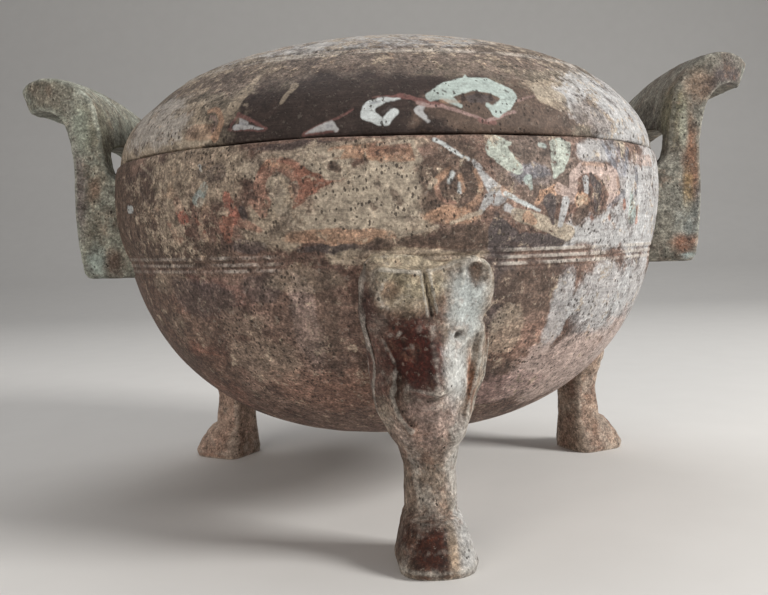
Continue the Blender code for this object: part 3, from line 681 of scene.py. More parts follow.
LID_MARKS = (
    ("ochre", 0.75, -32, 140.6, 4.8, 5.4, -70, 190, 1.3, 0.8),
    ("rose", 0.6, -32, 140.6, 2.6, 3, -50, 160, 0.8, 0.5),
    ("plum", 0.75, -26, 143.6, 0.8, -20, 137.5, 0.4),
    ("plum", 0.7, -26.2, 143.4, 0.5, -27.4, 138.6, 0.5),
    ("plum", 0.6, -27, 138.2, 0.5, -20.4, 137, 0.3), ("pale", 1, -26, 139.2, 1.1, -20.8, 137.8, 0.2),
    ("pale", 0.9, -25.6, 142.2, 0.2, -24.4, 139.4, 1.7),
    ("plum", 0.75, -13.8, 134.8, 0.4, -5.4, 142, 0.3),
    ("plum", 0.7, -13.4, 135, 0.7, -7.8, 135.8, 0.4), ("pale", 1, -9, 137.4, 1.5, -13.2, 135.1, 0.2),
    ("pale", 0.9, -8.9, 138.8, 0.3, -8.2, 136.2, 0.9),
    ("white", 0.95, -0.6, 144.6, 0.9, -2.7, 143, 1.8),
    ("white", 1, -2.7, 143, 1.9, -3, 140.2, 2.1, -1.5, 138.2, 1.4),
    ("white", 0.9, -1.2, 144.9, 1, 2.2, 145.3, 0.4), ("white", 1, 1, 140.6, 1.5, -0.1, 138.4, 1.5),
    ("slate", 0.8, 0.6, 142.6, 0.5, -0.8, 140.8, 0.4),
    ("blue grey", 0.6, -2.6, 143.8, 0.5, -1, 144.4, 0.4),
    ("blue grey", 0.5, -25, 140.2, 0.5, -23.4, 139, 0.3),
    ("blue grey", 0.5, -9.6, 137.2, 0.6, -8.9, 137.6, 0.5),
    ("plum", 0.7, -2.4, 145.9, 0.3, 3, 146.2, 0.5), ("pale", 0.95, 6.2, 143.2, 0.6, 5, 141, 1.1),
    ("pale", 0.95, 5, 141, 1.2, 6.6, 137.9, 0.4), ("plum", 0.8, 2.2, 146.2, 0.8, 9, 142.8, 0.9),
    ("rose", 0.8, 5.2, 143.4, 0.8, 8.6, 142.4, 0.5), ("rose", 0.9, 9, 142.6, 0.7, 15.8, 138.2, 0.5),
    ("plum", 0.7, 15.2, 138, 1, 17.6, 137.2, 0.9), ("rose", 0.85, 16.6, 138, 0.6, 21.8, 140.9, 0.6),
    ("rose", 0.5, 23, 144.8, 0.4, 27, 147, 0.4),
    ("sea white", 1, 7.4, 145.8, 1.5, 10.6, 148.4, 2.8, 14.2, 150, 2.4, 18.6, 149.8, 2.6, 21.6,
     146.8, 3),
    ("sea white", 1, 21.6, 146.8, 2.9, 20.6, 143.4, 1.9, 18.4, 141, 2),
    ("sea white", 1, 18, 141.2, 1.5, 17, 143, 0.7),
    ("sea white", 1, 14.2, 151, 1.3, 14.4, 153.4, 0.2),
    ("sea white", 0.9, 9.4, 146.6, 1.8, 12.2, 142.8, 0.8),
    ("ochre", 0.4, 9, 144.4, 0.8, 12, 144.4, 0.6), ("buff", 0.75, -27.6, 146, 2.2, -26.6, 152, 2.6),
    ("buff", 0.65, -26.4, 153, 1.8, -24.6, 162, 0.8),
    ("buff", 0.65, -18, 146, 0.8, -16.4, 151.6, 1.4), ("cream", 0.7, -42, 147, 1.6, -32, 152, 1),
    ("cream", 0.8, 28, 149, 1.6, 33, 147, 2.2), ("slate", 0.9, 14.2, 145, 1.3, 17.8, 145.2, 1.3),
    ("soot", 0.9, 13.2, 146.8, 0.5, 13, 145.2, 0.9), ("soot", 0.9, 15.8, 147.8, 0.4, 15.8, 146, 1),
    ("soot", 0.9, 18.2, 147, 0.4, 18, 145.2, 0.9), ("soot", 0.8, 9.6, 147.8, 0.4, 10, 147.4, 0.3),
    ("soot", 0.8, 21.4, 148.2, 0.4, 21.8, 147.8, 0.3),
    ("slate", 0.7, 18.8, 144.4, 0.5, 18.6, 143.6, 0.4),
)


def lid_cover(graph, sheet, ragged):
    """Crust and speckle on the lid: little on the dark zone at the front, much beside it."""
    dark = graph.use("soft patch", Sheet=sheet, Centre=spot(0, 140), Cloud=ragged,
                     Size=(30 * DEGREE, 15, 1.0), Raggedness=1.2, Softness=0.35)
    crown = graph.axes(sheet)[1].rise(150.0, 182.0) * 0.12
    return crown + 0.40 - dark * 0.4, 1.0 - dark * 0.55


lid_finish = turned_material("painted_clay_lid", LID_PATCHES, LID_MARKS, (0.10, 0.08, 0.06),
                             (0.27, 0.23, 0.18), lid_cover, 0.3, RING_LINES)
print("lid finish", len(lid_finish.node_tree.nodes), "nodes")

# %% [markdown]
# ## The bowl
# The outline runs from the middle of the floor inside, up the wall, over the lip, and down the
# outside with its incised belt. Spinning the outline is what the potter's wheel does, so the
# operator fits. The belt is cut as real grooves: a line that catches the light must be shape, not
# paint.

# %% Bowl
BELT_GROOVES = ((0.0985, 0.0002), (0.0964, 0.0004), (0.0943, 0.0004), (0.0921, 0.0003))
GROOVE_WIDTH = 0.00045
ROUNDING = 0.0013
BELT_STEP, WALL_STEP, BASE_STEP = 0.0003, 0.0011, 0.0007


def bowl_outline():
    """The wall of the bowl, from the middle of its floor round to the middle of its base."""
    inner, shoulder = BOWL_RADIUS - WALL, bowl_radius(SEAM)
    rise, lip = BOWL_BOTTOM + FLOOR_THICKNESS - BOWL_WIDEST, SEAM + LIP_HEIGHT
    points = [(0.0, BOWL_BOTTOM + FLOOR_THICKNESS)]
    points += [dome(inner, rise, BOWL_WIDEST, BOWL_FULLNESS, BOWL_ROUNDNESS, turn)
               for turn in range(86, -1, -5)]
    points += [(LIP_INNER + 0.0026, SEAM - WALL + 0.0012), (LIP_INNER, SEAM - 0.0035),
               (LIP_INNER, lip - 0.0009), (LIP_INNER + 0.0009, lip), (LIP_OUTER - 0.0009, lip),
               (LIP_OUTER, lip - 0.0009), (LIP_OUTER, SEAM + 0.0004), (LIP_OUTER + 0.0008, SEAM),
               (shoulder - 0.0018, SEAM)]
    for turn in (60, 30, 0):
        angle = math.radians(turn)
        points.append((shoulder - ROUNDING + ROUNDING * math.cos(angle),
                       SEAM - ROUNDING + ROUNDING * math.sin(angle)))
    height = SEAM - 2.0 * ROUNDING
    while height > 0.0300:
        cut = sum(depth * bell(height - place, GROOVE_WIDTH) for place, depth in BELT_GROOVES)
        points.append((bowl_radius(height) - cut, height))
        in_belt = 0.0910 < height < 0.0995
        height -= BELT_STEP if in_belt else WALL_STEP if height > 0.045 else BASE_STEP
    rise = BOWL_BOTTOM - BOWL_WIDEST
    points += [dome(BOWL_RADIUS, rise, BOWL_WIDEST, BOWL_FULLNESS, BOWL_ROUNDNESS, turn)
               for turn in (72, 76, 80, 84, 87)]
    return points + [(0.0, BOWL_BOTTOM)]


def lean_aside(bm):
    """Lean the band and the lid's rim a little to the left, as the hand-built pot does."""
    for vertex in bm.verts:
        height = vertex.co.z
        vertex.co.x -= LEAN * smooth_step(0.088, 0.108, height) * smooth_step(0.158, 0.146, height)


bowl_skin = turn_outline(bowl_outline(), BOWL_STEPS)
lean_aside(bowl_skin)
roughen(bowl_skin, TURNED_WAVE, TURNED_GRAIN)
bowl = finish_piece("bowl", bowl_skin, bowl_finish)

# %% [markdown]
# ## The lid
# The lid is a shallow dome with a step near the crown, where a ring was turned. Its rim is chipped
# here and there. A chip is a bite out of the edge, so points near the rim are pushed in where noise
# says so.

# %% Lid
RING_TURN = 37.5
RIM = SEAM + LID_GAP
CHIP_REACH, CHIP_DEPTH = 0.0014, 0.0018


def lid_swell(height):
    """How far the lid spreads over its plain curve, dying out above the rim."""
    return LID_SWELL * (1.0 - clamped((height - SEAM - LID_GAP) / LID_SWELL_RISE) ** 1.5)


def lid_outline():
    """The wall of the lid, from its crown down the outside and back up inside."""
    rise = LID_TOP - RIM
    points = [(0.0, LID_TOP)]
    turn = 88.0
    while turn > 3.0:
        across, up = dome(LID_RADIUS, rise, RIM, LID_FULLNESS, LID_ROUNDNESS, turn)
        cut = 0.0004 * bell(turn - RING_TURN - 0.9, 0.8) - 0.0003 * bell(turn - RING_TURN + 0.6, 0.8)
        points.append((across + lid_swell(up) - 0.5 * cut, up - cut))
        turn -= 0.4 if abs(turn - RING_TURN) < 3.0 else 1.0
    outer, inner = LID_RADIUS + LID_SWELL, LID_RADIUS - LID_WALL
    points += [(outer, RIM + 0.0008), (outer - 0.0007, RIM), (inner + 0.0006, RIM),
               (inner, RIM + 0.0008)]
    points += [dome(inner, rise - LID_WALL, RIM, LID_FULLNESS, LID_ROUNDNESS, turn)
               for turn in range(6, 90, 6)]
    return points + [(0.0, LID_TOP - LID_WALL)]


def chip_rim(bm):
    """Bite small chips out of the outer edge of the rim."""
    for vertex in bm.verts:
        away = Vector((vertex.co.x, vertex.co.y - AXIS_Y, 0.0))
        near = bell(vertex.co.z - RIM, CHIP_REACH)
        if near > 0.05 and away.length > 0.103:
            bite = max(noise.noise(vertex.co * 210.0) - 0.22, 0.0) * 2.6
            vertex.co -= away.normalized() * min(bite, 1.0) * near * CHIP_DEPTH


lid_skin = turn_outline(lid_outline(), LID_STEPS)
roughen(lid_skin, TURNED_WAVE, TURNED_GRAIN)
chip_rim(lid_skin)
for vertex in lid_skin.verts:
    vertex.co.z = min(vertex.co.z, LID_TOP)
lean_aside(lid_skin)
lid = finish_piece("lid_dome", lid_skin, lid_finish, "lid")

# %% [markdown]
# ## Clay of the ears and legs
# The moulded parts were never painted with scrolls. Their white slip has weathered to a grey-green
# skin, with brown clay on worn places, orange stain below, and dirt and painted shade in every
# hollow. Dirt and painted shade follow the shape, so each point stores how deep it lies, in an
# attribute named "hollow". Bare edges follow it too. On the front leg some areas are painted shade
# and painted highlight, and the left rear leg's clay is a lighter copy, painted light against its
# shade.

# %% Material of the moulded pieces
def store_hollows(bm):
    """Store how hollow each point lies: above 0.5 in a groove, below it on an edge."""
    layer = bm.verts.layers.float.new("hollow")
    bm.normal_update()
    bend = {}
    for vertex in bm.verts:
        reach = [edge.other_vert(vertex).co - vertex.co for edge in vertex.link_edges]
        bend[vertex] = sum(step.normalized().dot(vertex.normal) for step in reach) / len(reach)
    for vertex in bm.verts:
        around = [bend[edge.other_vert(vertex)] for edge in vertex.link_edges]
        mean = (bend[vertex] + sum(around)) / (1 + len(around))
        vertex[layer] = clamped(0.5 + 1.6 * mean)


def face_sheet(graph, place, piece):
    """Millimetres across and up a piece. On an ear the third tells what is behind its edge."""
    if piece.startswith("leg"):
        return graph.node("ShaderNodeAttribute", (), ("Vector",), attribute_name="face_place")
    across, deep, up = graph.axes(graph.scaled(place, 1.0 / MM))
    behind = graph.math("MAXIMUM", deep * 0.1 + 3.4, 0.0)
    return graph.node("ShaderNodeCombineXYZ", (across, up, behind))


def moulded_material(piece, name, skin, bare, pale, stain, stain_amount, areas):
    """Weathered slip over brown clay, dark with dirt and painted shade in the hollows, and rubbed on
    the edges.
    """
    material, graph, place = start_material(name)
    hollow = graph.node("ShaderNodeAttribute", (), ("Fac",), attribute_name="hollow")
    color = graph.use("worn clay", Place=place, Dark=bare, Light=skin, Scale=85.0, Balance=0.55)
    ragged = graph.cloud(place, 130.0, 5.0, 0.7)
    bloom = graph.cloud(place, 60.0, 6.0, 0.66, 0.5).rise(0.48, 0.62)
    color = graph.mix(bloom * 0.55, color, pale)
    face = face_sheet(graph, place, piece) if areas else None
    for paint, across, height, wide, tall, strength in areas:
        mask = graph.use("soft patch", Sheet=face, Centre=(across, height, 0.0), Cloud=ragged,
                         Size=(wide, tall, 1.0), Raggedness=1.6, Softness=0.6)
        color = graph.mix(mask * strength, color, paint)
    rust = graph.cloud(place, 110.0, 5.0, 0.66).rise(0.55, 0.66)
    color = graph.mix(rust * stain_amount, color, stain)
    level = hollow + (ragged * 0.2 - 0.1)
    color = graph.mix(level.rise(0.47, 0.32) * 0.5, color, pale)
    # Dirt and painted shade darken the hollows.
    color = graph.mix(level.rise(0.60, 0.86) * 0.8, color, (0.04, 0.026, 0.018))
    grime = graph.cloud(place, 170.0, 6.0, 0.7, 0.3).rise(0.54, 0.64)
    color = graph.mix(grime * 0.45, color, (0.06, 0.042, 0.034))
    color, grain = graph.use("speckle", Place=place, Color=color, Amount=1.0)
    holes = graph.use("root marks", Place=place, Amount=0.14)
    color = graph.mix(holes * 0.8, color, (0.02, 0.015, 0.012))
    finish_material(graph, color, 0.8, bloom * 0.2 + grain * 0.9 - holes * 0.6 - grime * 0.2)
    return material


# Stained areas, some on the front leg painted shade and painted highlight: paint, across, height,
# half width, half height, strength
LEG_AREAS = (
    # Dark paint with painted shade and a painted red reflection on the left plane of the muzzle.
    ((0.075, 0.04, 0.03), -8, 68, 13, 16, 1), ((0.044, 0.008, 0.005), -4.6, 65, 8, 12.5, 0.9),
    ((0.27, 0.23, 0.16), -7, 88, 11, 6.5, 0.9), ((0.34, 0.285, 0.205), 0, 97, 26, 4, 1),
    # Painted shade down the left side of the head.
    ((0.065, 0.034, 0.028), -20.2, 74, 3.4, 20, 1), ((0.12, 0.068, 0.055), -16.2, 62, 2.6, 12, 0.7),
    ((0.42, 0.45, 0.44), 12, 82, 6, 12, 0.95), ((0.08, 0.055, 0.04), 15, 91, 3.2, 3.8, 1),
    # Painted shade under the left ear lobe, and a painted highlight on the right plane of the
    # muzzle.
    ((0.17, 0.11, 0.075), -12.8, 86.6, 3.4, 2.6, 0.8), ((0.46, 0.46, 0.44), 8.2, 62, 4.4, 11, 1),
    ((0.24, 0.17, 0.145), -1, 44, 10, 9, 0.8), ((0.24, 0.11, 0.06), 14, 57, 1.4, 9, 0.8),
    # A painted highlight down the right of the shank, and painted shade with a painted red
    # reflection on the front left of the hoof.
    ((0.38, 0.36, 0.33), 9, 30, 4, 16, 0.8), ((0.036, 0.01, 0.005), -2.5, 8, 9, 7.2, 1),
    # A painted highlight on the right of the hoof.
    ((0.42, 0.42, 0.41), 10, 8, 5, 9, 0.8), ((0.34, 0.25, 0.17), 4.6, 7, 1.6, 6, 0.7),
)
LEFT_EAR_AREAS = (
    ((0.16, 0.135, 0.13), -121, 128, 4, 22, 0.7), ((0.29, 0.32, 0.26), -118, 148, 3.6, 9, 0.8),
    ((0.17, 0.15, 0.12), -130, 162, 9, 5, 0.6), ((0.21, 0.14, 0.1), -113.5, 125, 2.6, 4, 0.8),
    ((0.33, 0.38, 0.34), -113.5, 97, 3.4, 6, 0.9), ((0.1, 0.06, 0.045), -107, 96, 3.5, 6, 0.8),
    ((0.15, 0.14, 0.095), -109, 148, 6, 12, 0.5),
)
RIGHT_EAR_AREAS = (
    ((0.2, 0.105, 0.065), 116.5, 128, 3, 16, 0.85), ((0.19, 0.12, 0.08), 122, 158, 8, 6, 0.7),
    ((0.2, 0.145, 0.07), 115, 117, 2, 9, 0.7), ((0.055, 0.06, 0.075), 130, 162, 2.6, 1.8, 0.9),
    ((0.06, 0.062, 0.075), 121.5, 116, 3, 3.5, 0.8), ((0.16, 0.175, 0.165), 118, 104, 7, 9, 0.8),
    ((0.2, 0.1, 0.065), 112, 97, 4, 3.5, 0.9), ((0.22, 0.12, 0.08), 118.5, 97.5, 3.5, 3, 0.8),
    ((0.36, 0.43, 0.42), 115.5, 92.4, 3.4, 1.2, 1), ((0.28, 0.32, 0.29), 143.5, 162, 2.6, 5, 0.8),
    ((0.068, 0.054, 0.05), 134, 160, 9.5, 8, 1), ((0.28, 0.29, 0.24), 114, 142, 1.6, 8, 0.8),
    ((0.13, 0.12, 0.065), 108.5, 150, 6, 12, 0.6),
)
MOULDED_CLAY = {
    # piece: name, skin, bare clay, pale bloom, stain, strength of the stain, stained and
    # painted-light areas
    "ear_left": ("weathered_clay_left_ear", (0.24, 0.245, 0.2), (0.15, 0.13, 0.1),
                 (0.34, 0.36, 0.31), (0.24, 0.15, 0.1), 0.25, LEFT_EAR_AREAS),
    "ear_right": ("weathered_clay_right_ear", (0.18, 0.17, 0.14), (0.1, 0.078, 0.06),
                  (0.25, 0.245, 0.21), (0.2, 0.11, 0.07), 0.35, RIGHT_EAR_AREAS),
    "leg_front": ("weathered_leg_clay", (0.25, 0.205, 0.16), (0.12, 0.078, 0.058),
                  (0.38, 0.36, 0.32), (0.22, 0.12, 0.08), 0.35, LEG_AREAS),
    "leg_right": ("weathered_right_leg_clay", (0.31, 0.225, 0.17), (0.17, 0.1, 0.075),
                  (0.4, 0.34, 0.28), (0.25, 0.15, 0.1), 0.4, ()),
    # The left rear leg's clay is a lighter copy of the right one's, painted light against the shade
    # it stands in.
    "leg_left": ("left_leg_clay_with_painted_light", (0.44, 0.32, 0.25), (0.25, 0.155, 0.115),
                 (0.5, 0.43, 0.36), (0.27, 0.16, 0.11), 0.4, ()),
}
finishes = {piece: moulded_material(piece, *row) for piece, row in MOULDED_CLAY.items()}
print(len(finishes), "finishes of moulded clay")

# %% [markdown]
# ## The ears
# An ear is a thick plate with a window, bent outwards while the clay was soft. So it is made like
# that: a flat plate, its corners rounded, sliced into courses, each course carried onto the bent
# line. The window is cut last. A fine remesh then rounds every worn edge at once, as two thousand
# years did.

# %% Ears
EAR_BREADTH, EAR_CORNER, EAR_FOOT, EAR_ARCH = 0.082, 0.026, 0.004, 0.0030
EAR_COURSES = 60
EAR_LINE = (
    # place across, height, thickness
    (0.1088, 0.0904, 0.0176), (0.1121, 0.1060, 0.0160), (0.1133, 0.1220, 0.0155),
    (0.1149, 0.1360, 0.0126), (0.1166, 0.1475, 0.0126), (0.1198, 0.1570, 0.0138),
    (0.1268, 0.1630, 0.0138), (0.1360, 0.1640, 0.0122), (0.1456, 0.1610, 0.0092),
)
EAR_ROOT, ROOT_FADE = 0.0050, (0.1240, 0.1305)
WINDOW_HALF, WINDOW_SILL, WINDOW_SPRING, WINDOW_CROWN = 0.031, 0.1305, 0.1370, 0.1450
SKIN_CELL = 0.0009


def ear_station(share):
    """Place, height and thickness of the plate at a share of its length, by a smooth curve."""
    place = share * (len(EAR_LINE) - 1)
    index = min(int(place), len(EAR_LINE) - 2)
    local = place - index
    rows = [EAR_LINE[min(max(index + shift, 0), len(EAR_LINE) - 1)] for shift in (-1, 0, 1, 2)]
    square, cube = local ** 2, local ** 3
    parts = (-0.5 * cube + square - 0.5 * local, 1.5 * cube - 2.5 * square + 1.0,
             -1.5 * cube + 2.0 * square + 0.5 * local, 0.5 * cube - 0.5 * square)
    return [sum(part * row[column] for part, row in zip(parts, rows)) for column in range(3)]


def slice_through(bm, place, normal):
    """Cut every face where a plane crosses it, keeping both sides."""
    bmesh.ops.bisect_plane(bm, geom=bm.verts[:] + bm.edges[:] + bm.faces[:], dist=1e-6,
                           plane_co=place, plane_no=normal)


def soften(bm, verts, factor):
    """Draw points towards their neighbours."""
    bmesh.ops.smooth_vert(bm, verts=verts, factor=factor, use_axis_x=True, use_axis_y=True,
                          use_axis_z=True)


def pull(bm, grown, offset):
    """Move what an extrusion has grown, and turn all faces outwards."""
    moved = [item for item in grown["geom"] if isinstance(item, bmesh.types.BMVert)]
    bmesh.ops.translate(bm, vec=offset, verts=moved)
    bmesh.ops.recalc_face_normals(bm, faces=bm.faces)


def bent_plate(top_lift):
    """The plate of an ear at +X, bent to its line."""
    length = sum(math.dist(low[:2], high[:2]) for low, high in zip(EAR_LINE, EAR_LINE[1:]))
    bm = bmesh.new()
    bmesh.ops.create_cube(bm, size=1.0)
    bmesh.ops.scale(bm, vec=(1.0, EAR_BREADTH, length), verts=bm.verts)
    bmesh.ops.translate(bm, vec=(0.0, 0.0, 0.5 * length), verts=bm.verts)
    for level, offset, segments in ((length, EAR_CORNER, 12), (0.0, EAR_FOOT, 4)):
        ends = [edge for edge in bm.edges
                if all(abs(vertex.co.z - level) < 1e-6 for vertex in edge.verts)
                and abs(edge.verts[0].co.y - edge.verts[1].co.y) < 1e-6]
        bmesh.ops.bevel(bm, geom=ends, offset=offset, segments=segments, profile=0.5,
                        affect="EDGES", material=-1)
    for course in range(1, EAR_COURSES):
        slice_through(bm, (0.0, 0.0, length * course / EAR_COURSES), (0.0, 0.0, 1.0))
    for upright in range(-3, 4):
        slice_through(bm, (0.0, 0.125 * upright * EAR_BREADTH, 0.0), (0.0, 1.0, 0.0))
    for vertex in bm.verts:
        share = vertex.co.z / length
        here, height, thickness = ear_station(share)
        before, after = ear_station(max(share - 0.01, 0.0)), ear_station(min(share + 0.01, 1.0))
        along = Vector((after[0] - before[0], 0.0, after[1] - before[1])).normalized()
        outward = Vector((1.0, 0.0, 0.0)).lerp(Vector((along.z, 0.0, -along.x)),
                                               smooth_step(0.0, 0.2, share))
        across = 2.0 * vertex.co.y / EAR_BREADTH
        arch = (EAR_ARCH * (1.0 - across * across) + top_lift) * smooth_step(0.55, 0.8, share)
        bent = Vector((here, vertex.co.y, height + arch)) + outward * thickness * vertex.co.x
        if vertex.co.x < 0.0:
            bent.x -= EAR_ROOT * (1.0 - smooth_step(*ROOT_FADE, height))
        vertex.co = bent
    return bm


def window_block():
    """What is cut away: a flat sill, upright jambs and a low arch, pushed through the plate."""
    outline = [(-WINDOW_HALF, WINDOW_SILL), (WINDOW_HALF, WINDOW_SILL)]
    for step in range(17):
        angle = math.pi * step / 16
        rise = (WINDOW_CROWN - WINDOW_SPRING) * math.sin(angle) ** 0.8
        outline.append((WINDOW_HALF * math.cos(angle), WINDOW_SPRING + rise))
    bm = bmesh.new()
    face = bm.faces.new([bm.verts.new((0.095, across, height)) for across, height in outline])
    pull(bm, bmesh.ops.extrude_face_region(bm, geom=[face]), (0.035, 0.0, 0.0))
    return bm


def make_ear(name, side, set_out, top_lift):
    """Cut the window, round the worn edges, and finish one ear."""
    plate = loose_object("plate", bent_plate(top_lift))
    window = loose_object("window", window_block())
    cut = plate.modifiers.new("Window", "BOOLEAN")
    cut.operation, cut.solver, cut.object = "DIFFERENCE", "EXACT", window
    remesh = plate.modifiers.new("Even skin", "REMESH")
    remesh.mode, remesh.voxel_size = "VOXEL", SKIN_CELL
    seen = plate.evaluated_get(bpy.context.evaluated_depsgraph_get())
    bm = bmesh.new()
    bm.from_mesh(seen.to_mesh())
    seen.to_mesh_clear()
    for tool in (plate, window):
        bpy.data.objects.remove(tool, do_unlink=True)
    for _ in range(4):
        soften(bm, bm.verts, 0.5)
    bmesh.ops.translate(bm, vec=(set_out, AXIS_Y, 0.0), verts=bm.verts)
    if side < 0:
        bmesh.ops.scale(bm, vec=(-1.0, 1.0, 1.0), verts=bm.verts)
        bmesh.ops.reverse_faces(bm, faces=bm.faces)
    roughen(bm, 0.0004, 0.00012)
    store_hollows(bm)
    return finish_piece(name, bm, finishes[name])


ear_right = make_ear("ear_right", 1, -0.0005, 0.0003)
ear_left = make_ear("ear_left", -1, 0.0008, -0.0018)

# %% [markdown]
# ## The legs
# A leg has a hoof, a narrow shank, and a swelling head whose face looks outwards. All three came
# from one mould. The section changes at every height, so a drum is cut into many courses, and each
# ring is drawn out to its own section. The face is then raised and hollowed by strokes, as with a
# modelling tool.

# %% Sections of a leg
LEG_BACK, LEG_TOP, LEG_PIVOT = 0.0885, 0.0985, 0.1090
LEG_STATIONS = (
    # height, half width, reach of the front, line of greatest width, squareness
    (0.0000, 0.0118, 0.1154, 0.1050, 0.75), (0.0024, 0.0124, 0.1164, 0.1050, 0.75),
    (0.0070, 0.0113, 0.1142, 0.1030, 0.80), (0.0110, 0.0101, 0.1114, 0.1005, 0.85),
    (0.0144, 0.0091, 0.1084, 0.0970, 0.85), (0.0156, 0.0083, 0.1056, 0.0945, 0.90),
    (0.0290, 0.0082, 0.1040, 0.0940, 0.90), (0.0350, 0.0096, 0.1048, 0.0940, 0.90),
    (0.0400, 0.0126, 0.1060, 0.0945, 0.88), (0.0480, 0.0160, 0.1074, 0.0950, 0.80),
    (0.0580, 0.0192, 0.1094, 0.0960, 0.66), (0.0680, 0.0212, 0.1104, 0.0975, 0.64),
    (0.0800, 0.0218, 0.1114, 0.1020, 0.62), (0.0900, 0.0216, 0.1118, 0.1040, 0.62),
    (0.0945, 0.0205, 0.1110, 0.1040, 0.66), (0.0985, 0.0180, 0.1060, 0.1030, 0.80),
)
FRONT_SIDES, BACK_SIDES, LEG_COURSES = 84, 24, 172
FOOT_FADE = (0.030, 0.080)


def leg_row(height):
    """The section's sizes at a height, eased between the stations."""
    for low, high in zip(LEG_STATIONS, LEG_STATIONS[1:]):
        if height <= high[0]:
            share = (height - low[0]) / (high[0] - low[0])
            blend = 0.5 * (share + share * share * (3.0 - 2.0 * share))
            return [start + (end - start) * blend for start, end in zip(low[1:], high[1:])]
    return list(LEG_STATIONS[-1][1:])


print(len(LEG_STATIONS), "stations,", LEG_COURSES, "courses")

# %% [markdown]
# The head is a bear's or an ox's, worn soft. It has round ears at the top corners, a groove down
# the forehead, a broad muzzle that hangs over the mouth, small pit eyes, and a raised rim down each
# cheek that ends in a curl. Each stroke is a half width, a height, and a line on the face in
# millimetres.

# %% Relief of the head
FACE_STROKES = (
    # Ears: lobes, hollows and rims
    (5, 3.2, 14.2, 93.6, 15.6, 88.6), (2.7, -3.4, 13.6, 92.4, 16, 88.8),
    (1.3, 0.9, 9.6, 88, 10.8, 93, 14, 96), (1.3, 0.9, 18.8, 93.4, 19, 87),
    (5, 2.4, -15.6, 90, -15.8, 86), (2.6, -2.6, -11.6, 88.6, -14, 85.2),
    (1.2, 1.5, -17, 93.2, -11, 92.8, -5, 91.8),
    # Forehead: its groove with a burr, the short bar below it, and the soft bulges beside it
    (0.6, -1.3, -2.2, 94, -1.4, 86, 0.2, 78.6), (0.6, -0.6, -2.9, 76.6, 2, 76.8),
    (0.5, 0.55, -0.6, 91, 1.5, 79), (0.5, 0.35, -3.2, 91, -1.6, 79), (4.6, 1, 6, 84, 6.4, 80),
    (4.6, 0.9, -6.4, 84, -6, 80),
    # Brows, eyes and temples
    (2, 0.9, 5, 75.6, 9, 76, 13, 73.6), (2, 0.8, -5, 75, -9, 75.4, -13.4, 72.6),
    (0.95, -1.4, 8.5, 71.4, 9, 72.2), (1.3, -1, -8.8, 70.8, -9.3, 71.4),
    (1.1, 0.8, 7, 69.4, 9.6, 68.6, 11.8, 70.6, 11, 73.4, 8.4, 74),
    (1.1, 0.5, -7, 69, -9.8, 68.4, -11.6, 70.6, -10.8, 73), (3, -1.2, 12.6, 66, 11.4, 59),
    (3.4, -1.8, -12, 69, -10.4, 59),
    # Lips, nostril and jaw
    (0.8, -0.8, -5, 54.6, 0.6, 53.2, 5.6, 54.8), (0.8, -0.5, 4.2, 56.6, 4.7, 56.4),
    (2.4, 0.9, -7.6, 50.6, 0.6, 50, 7, 51.4), (5.6, 1.2, 0.4, 47, 0.4, 43),
    # Rims down the cheeks, with the groove inside them
    (1.5, 1.5, 18.6, 73.6, 17.1, 64.6, 14.6, 57.1, 12.6, 48.6, 10.4, 42.4, 7.4, 39.2),
    (1.3, -1.3, 15.9, 71, 13.6, 60.6, 11.6, 51, 10, 46.6),
    (1.2, 0.7, 17.4, 75.6, 14, 68, 11.2, 57.4, 8.8, 46.4),
    (0.9, 0.9, 8.4, 41.6, 6, 40, 5.4, 42.4, 7.4, 44),
    (1.6, 0.9, -16.6, 70.6, -12.4, 63.2, -12.4, 56),
    (1.3, 1.5, -12.6, 56, -12.8, 53.6, -10.4, 47.4, -7, 42.8),
    (1.2, -1.2, -9.8, 60, -10.4, 53.6, -8.2, 47.4, -6.4, 45),
    (1.3, -0.6, -14.8, 62, -15, 54, -11.6, 46),
)
FACE_LINES = [(list(zip(line[::2], line[1::2])), half_width, height)
              for half_width, height, *line in FACE_STROKES]


def away_from_line(x, z, points):
    """How far (x, z) is from a line through the points."""
    best = 99.0
    for (ax, az), (bx, bz) in zip(points, points[1:]):
        dx, dz = bx - ax, bz - az
        share = clamped(((x - ax) * dx + (z - az) * dz) / (dx * dx + dz * dz))
        best = min(best, math.hypot(x - ax - share * dx, z - az - share * dz))
    return best


def muzzle(x, z):
    """The long wedge of the muzzle: it rises down the face to a ridge, and drops over the mouth."""
    down = clamped((78.0 - z) / 23.0)
    away = abs(x + 1.0 - 1.6 * down)
    width = 5.0 + 6.5 * down
    slope = max(1.0 - (math.sqrt(away * away + 0.8) - 0.9) / width, 0.0)
    lower_edge = 53.4 + 0.22 * away
    return (0.8 * smooth_step(0.0, 0.2, down) + 5.0 * down ** 1.1) * slope ** 1.1 * smooth_step(
        lower_edge - 1.6, lower_edge + 1.6, z)


def face_relief(x, z):
    """How far the face stands out, in metres, at a place in metres."""
    x, z = x / MM, z / MM
    roof = 0.06 + 0.24 * smooth_step(82.0, 74.0, z) * smooth_step(40.0, 53.0, z)
    total = muzzle(x, z) - roof * (math.sqrt((x - 0.5) ** 2 + 4.0) - 2.0)
    for points, half_width, height in FACE_LINES:
        away = away_from_line(x, z, points)
        if away < 3.0 * half_width:
            total += height * bell(away, half_width)
    return total * MM


HEAD_TOP = ((-22.0, 92.8), (-16.5, 94.8), (-10.0, 93.8), (-2.0, 93.2), (4.0, 94.0), (10.0, 96.4),
            (14.5, 97.8), (17.5, 97.2), (20.0, 94.8), (22.0, 92.0))


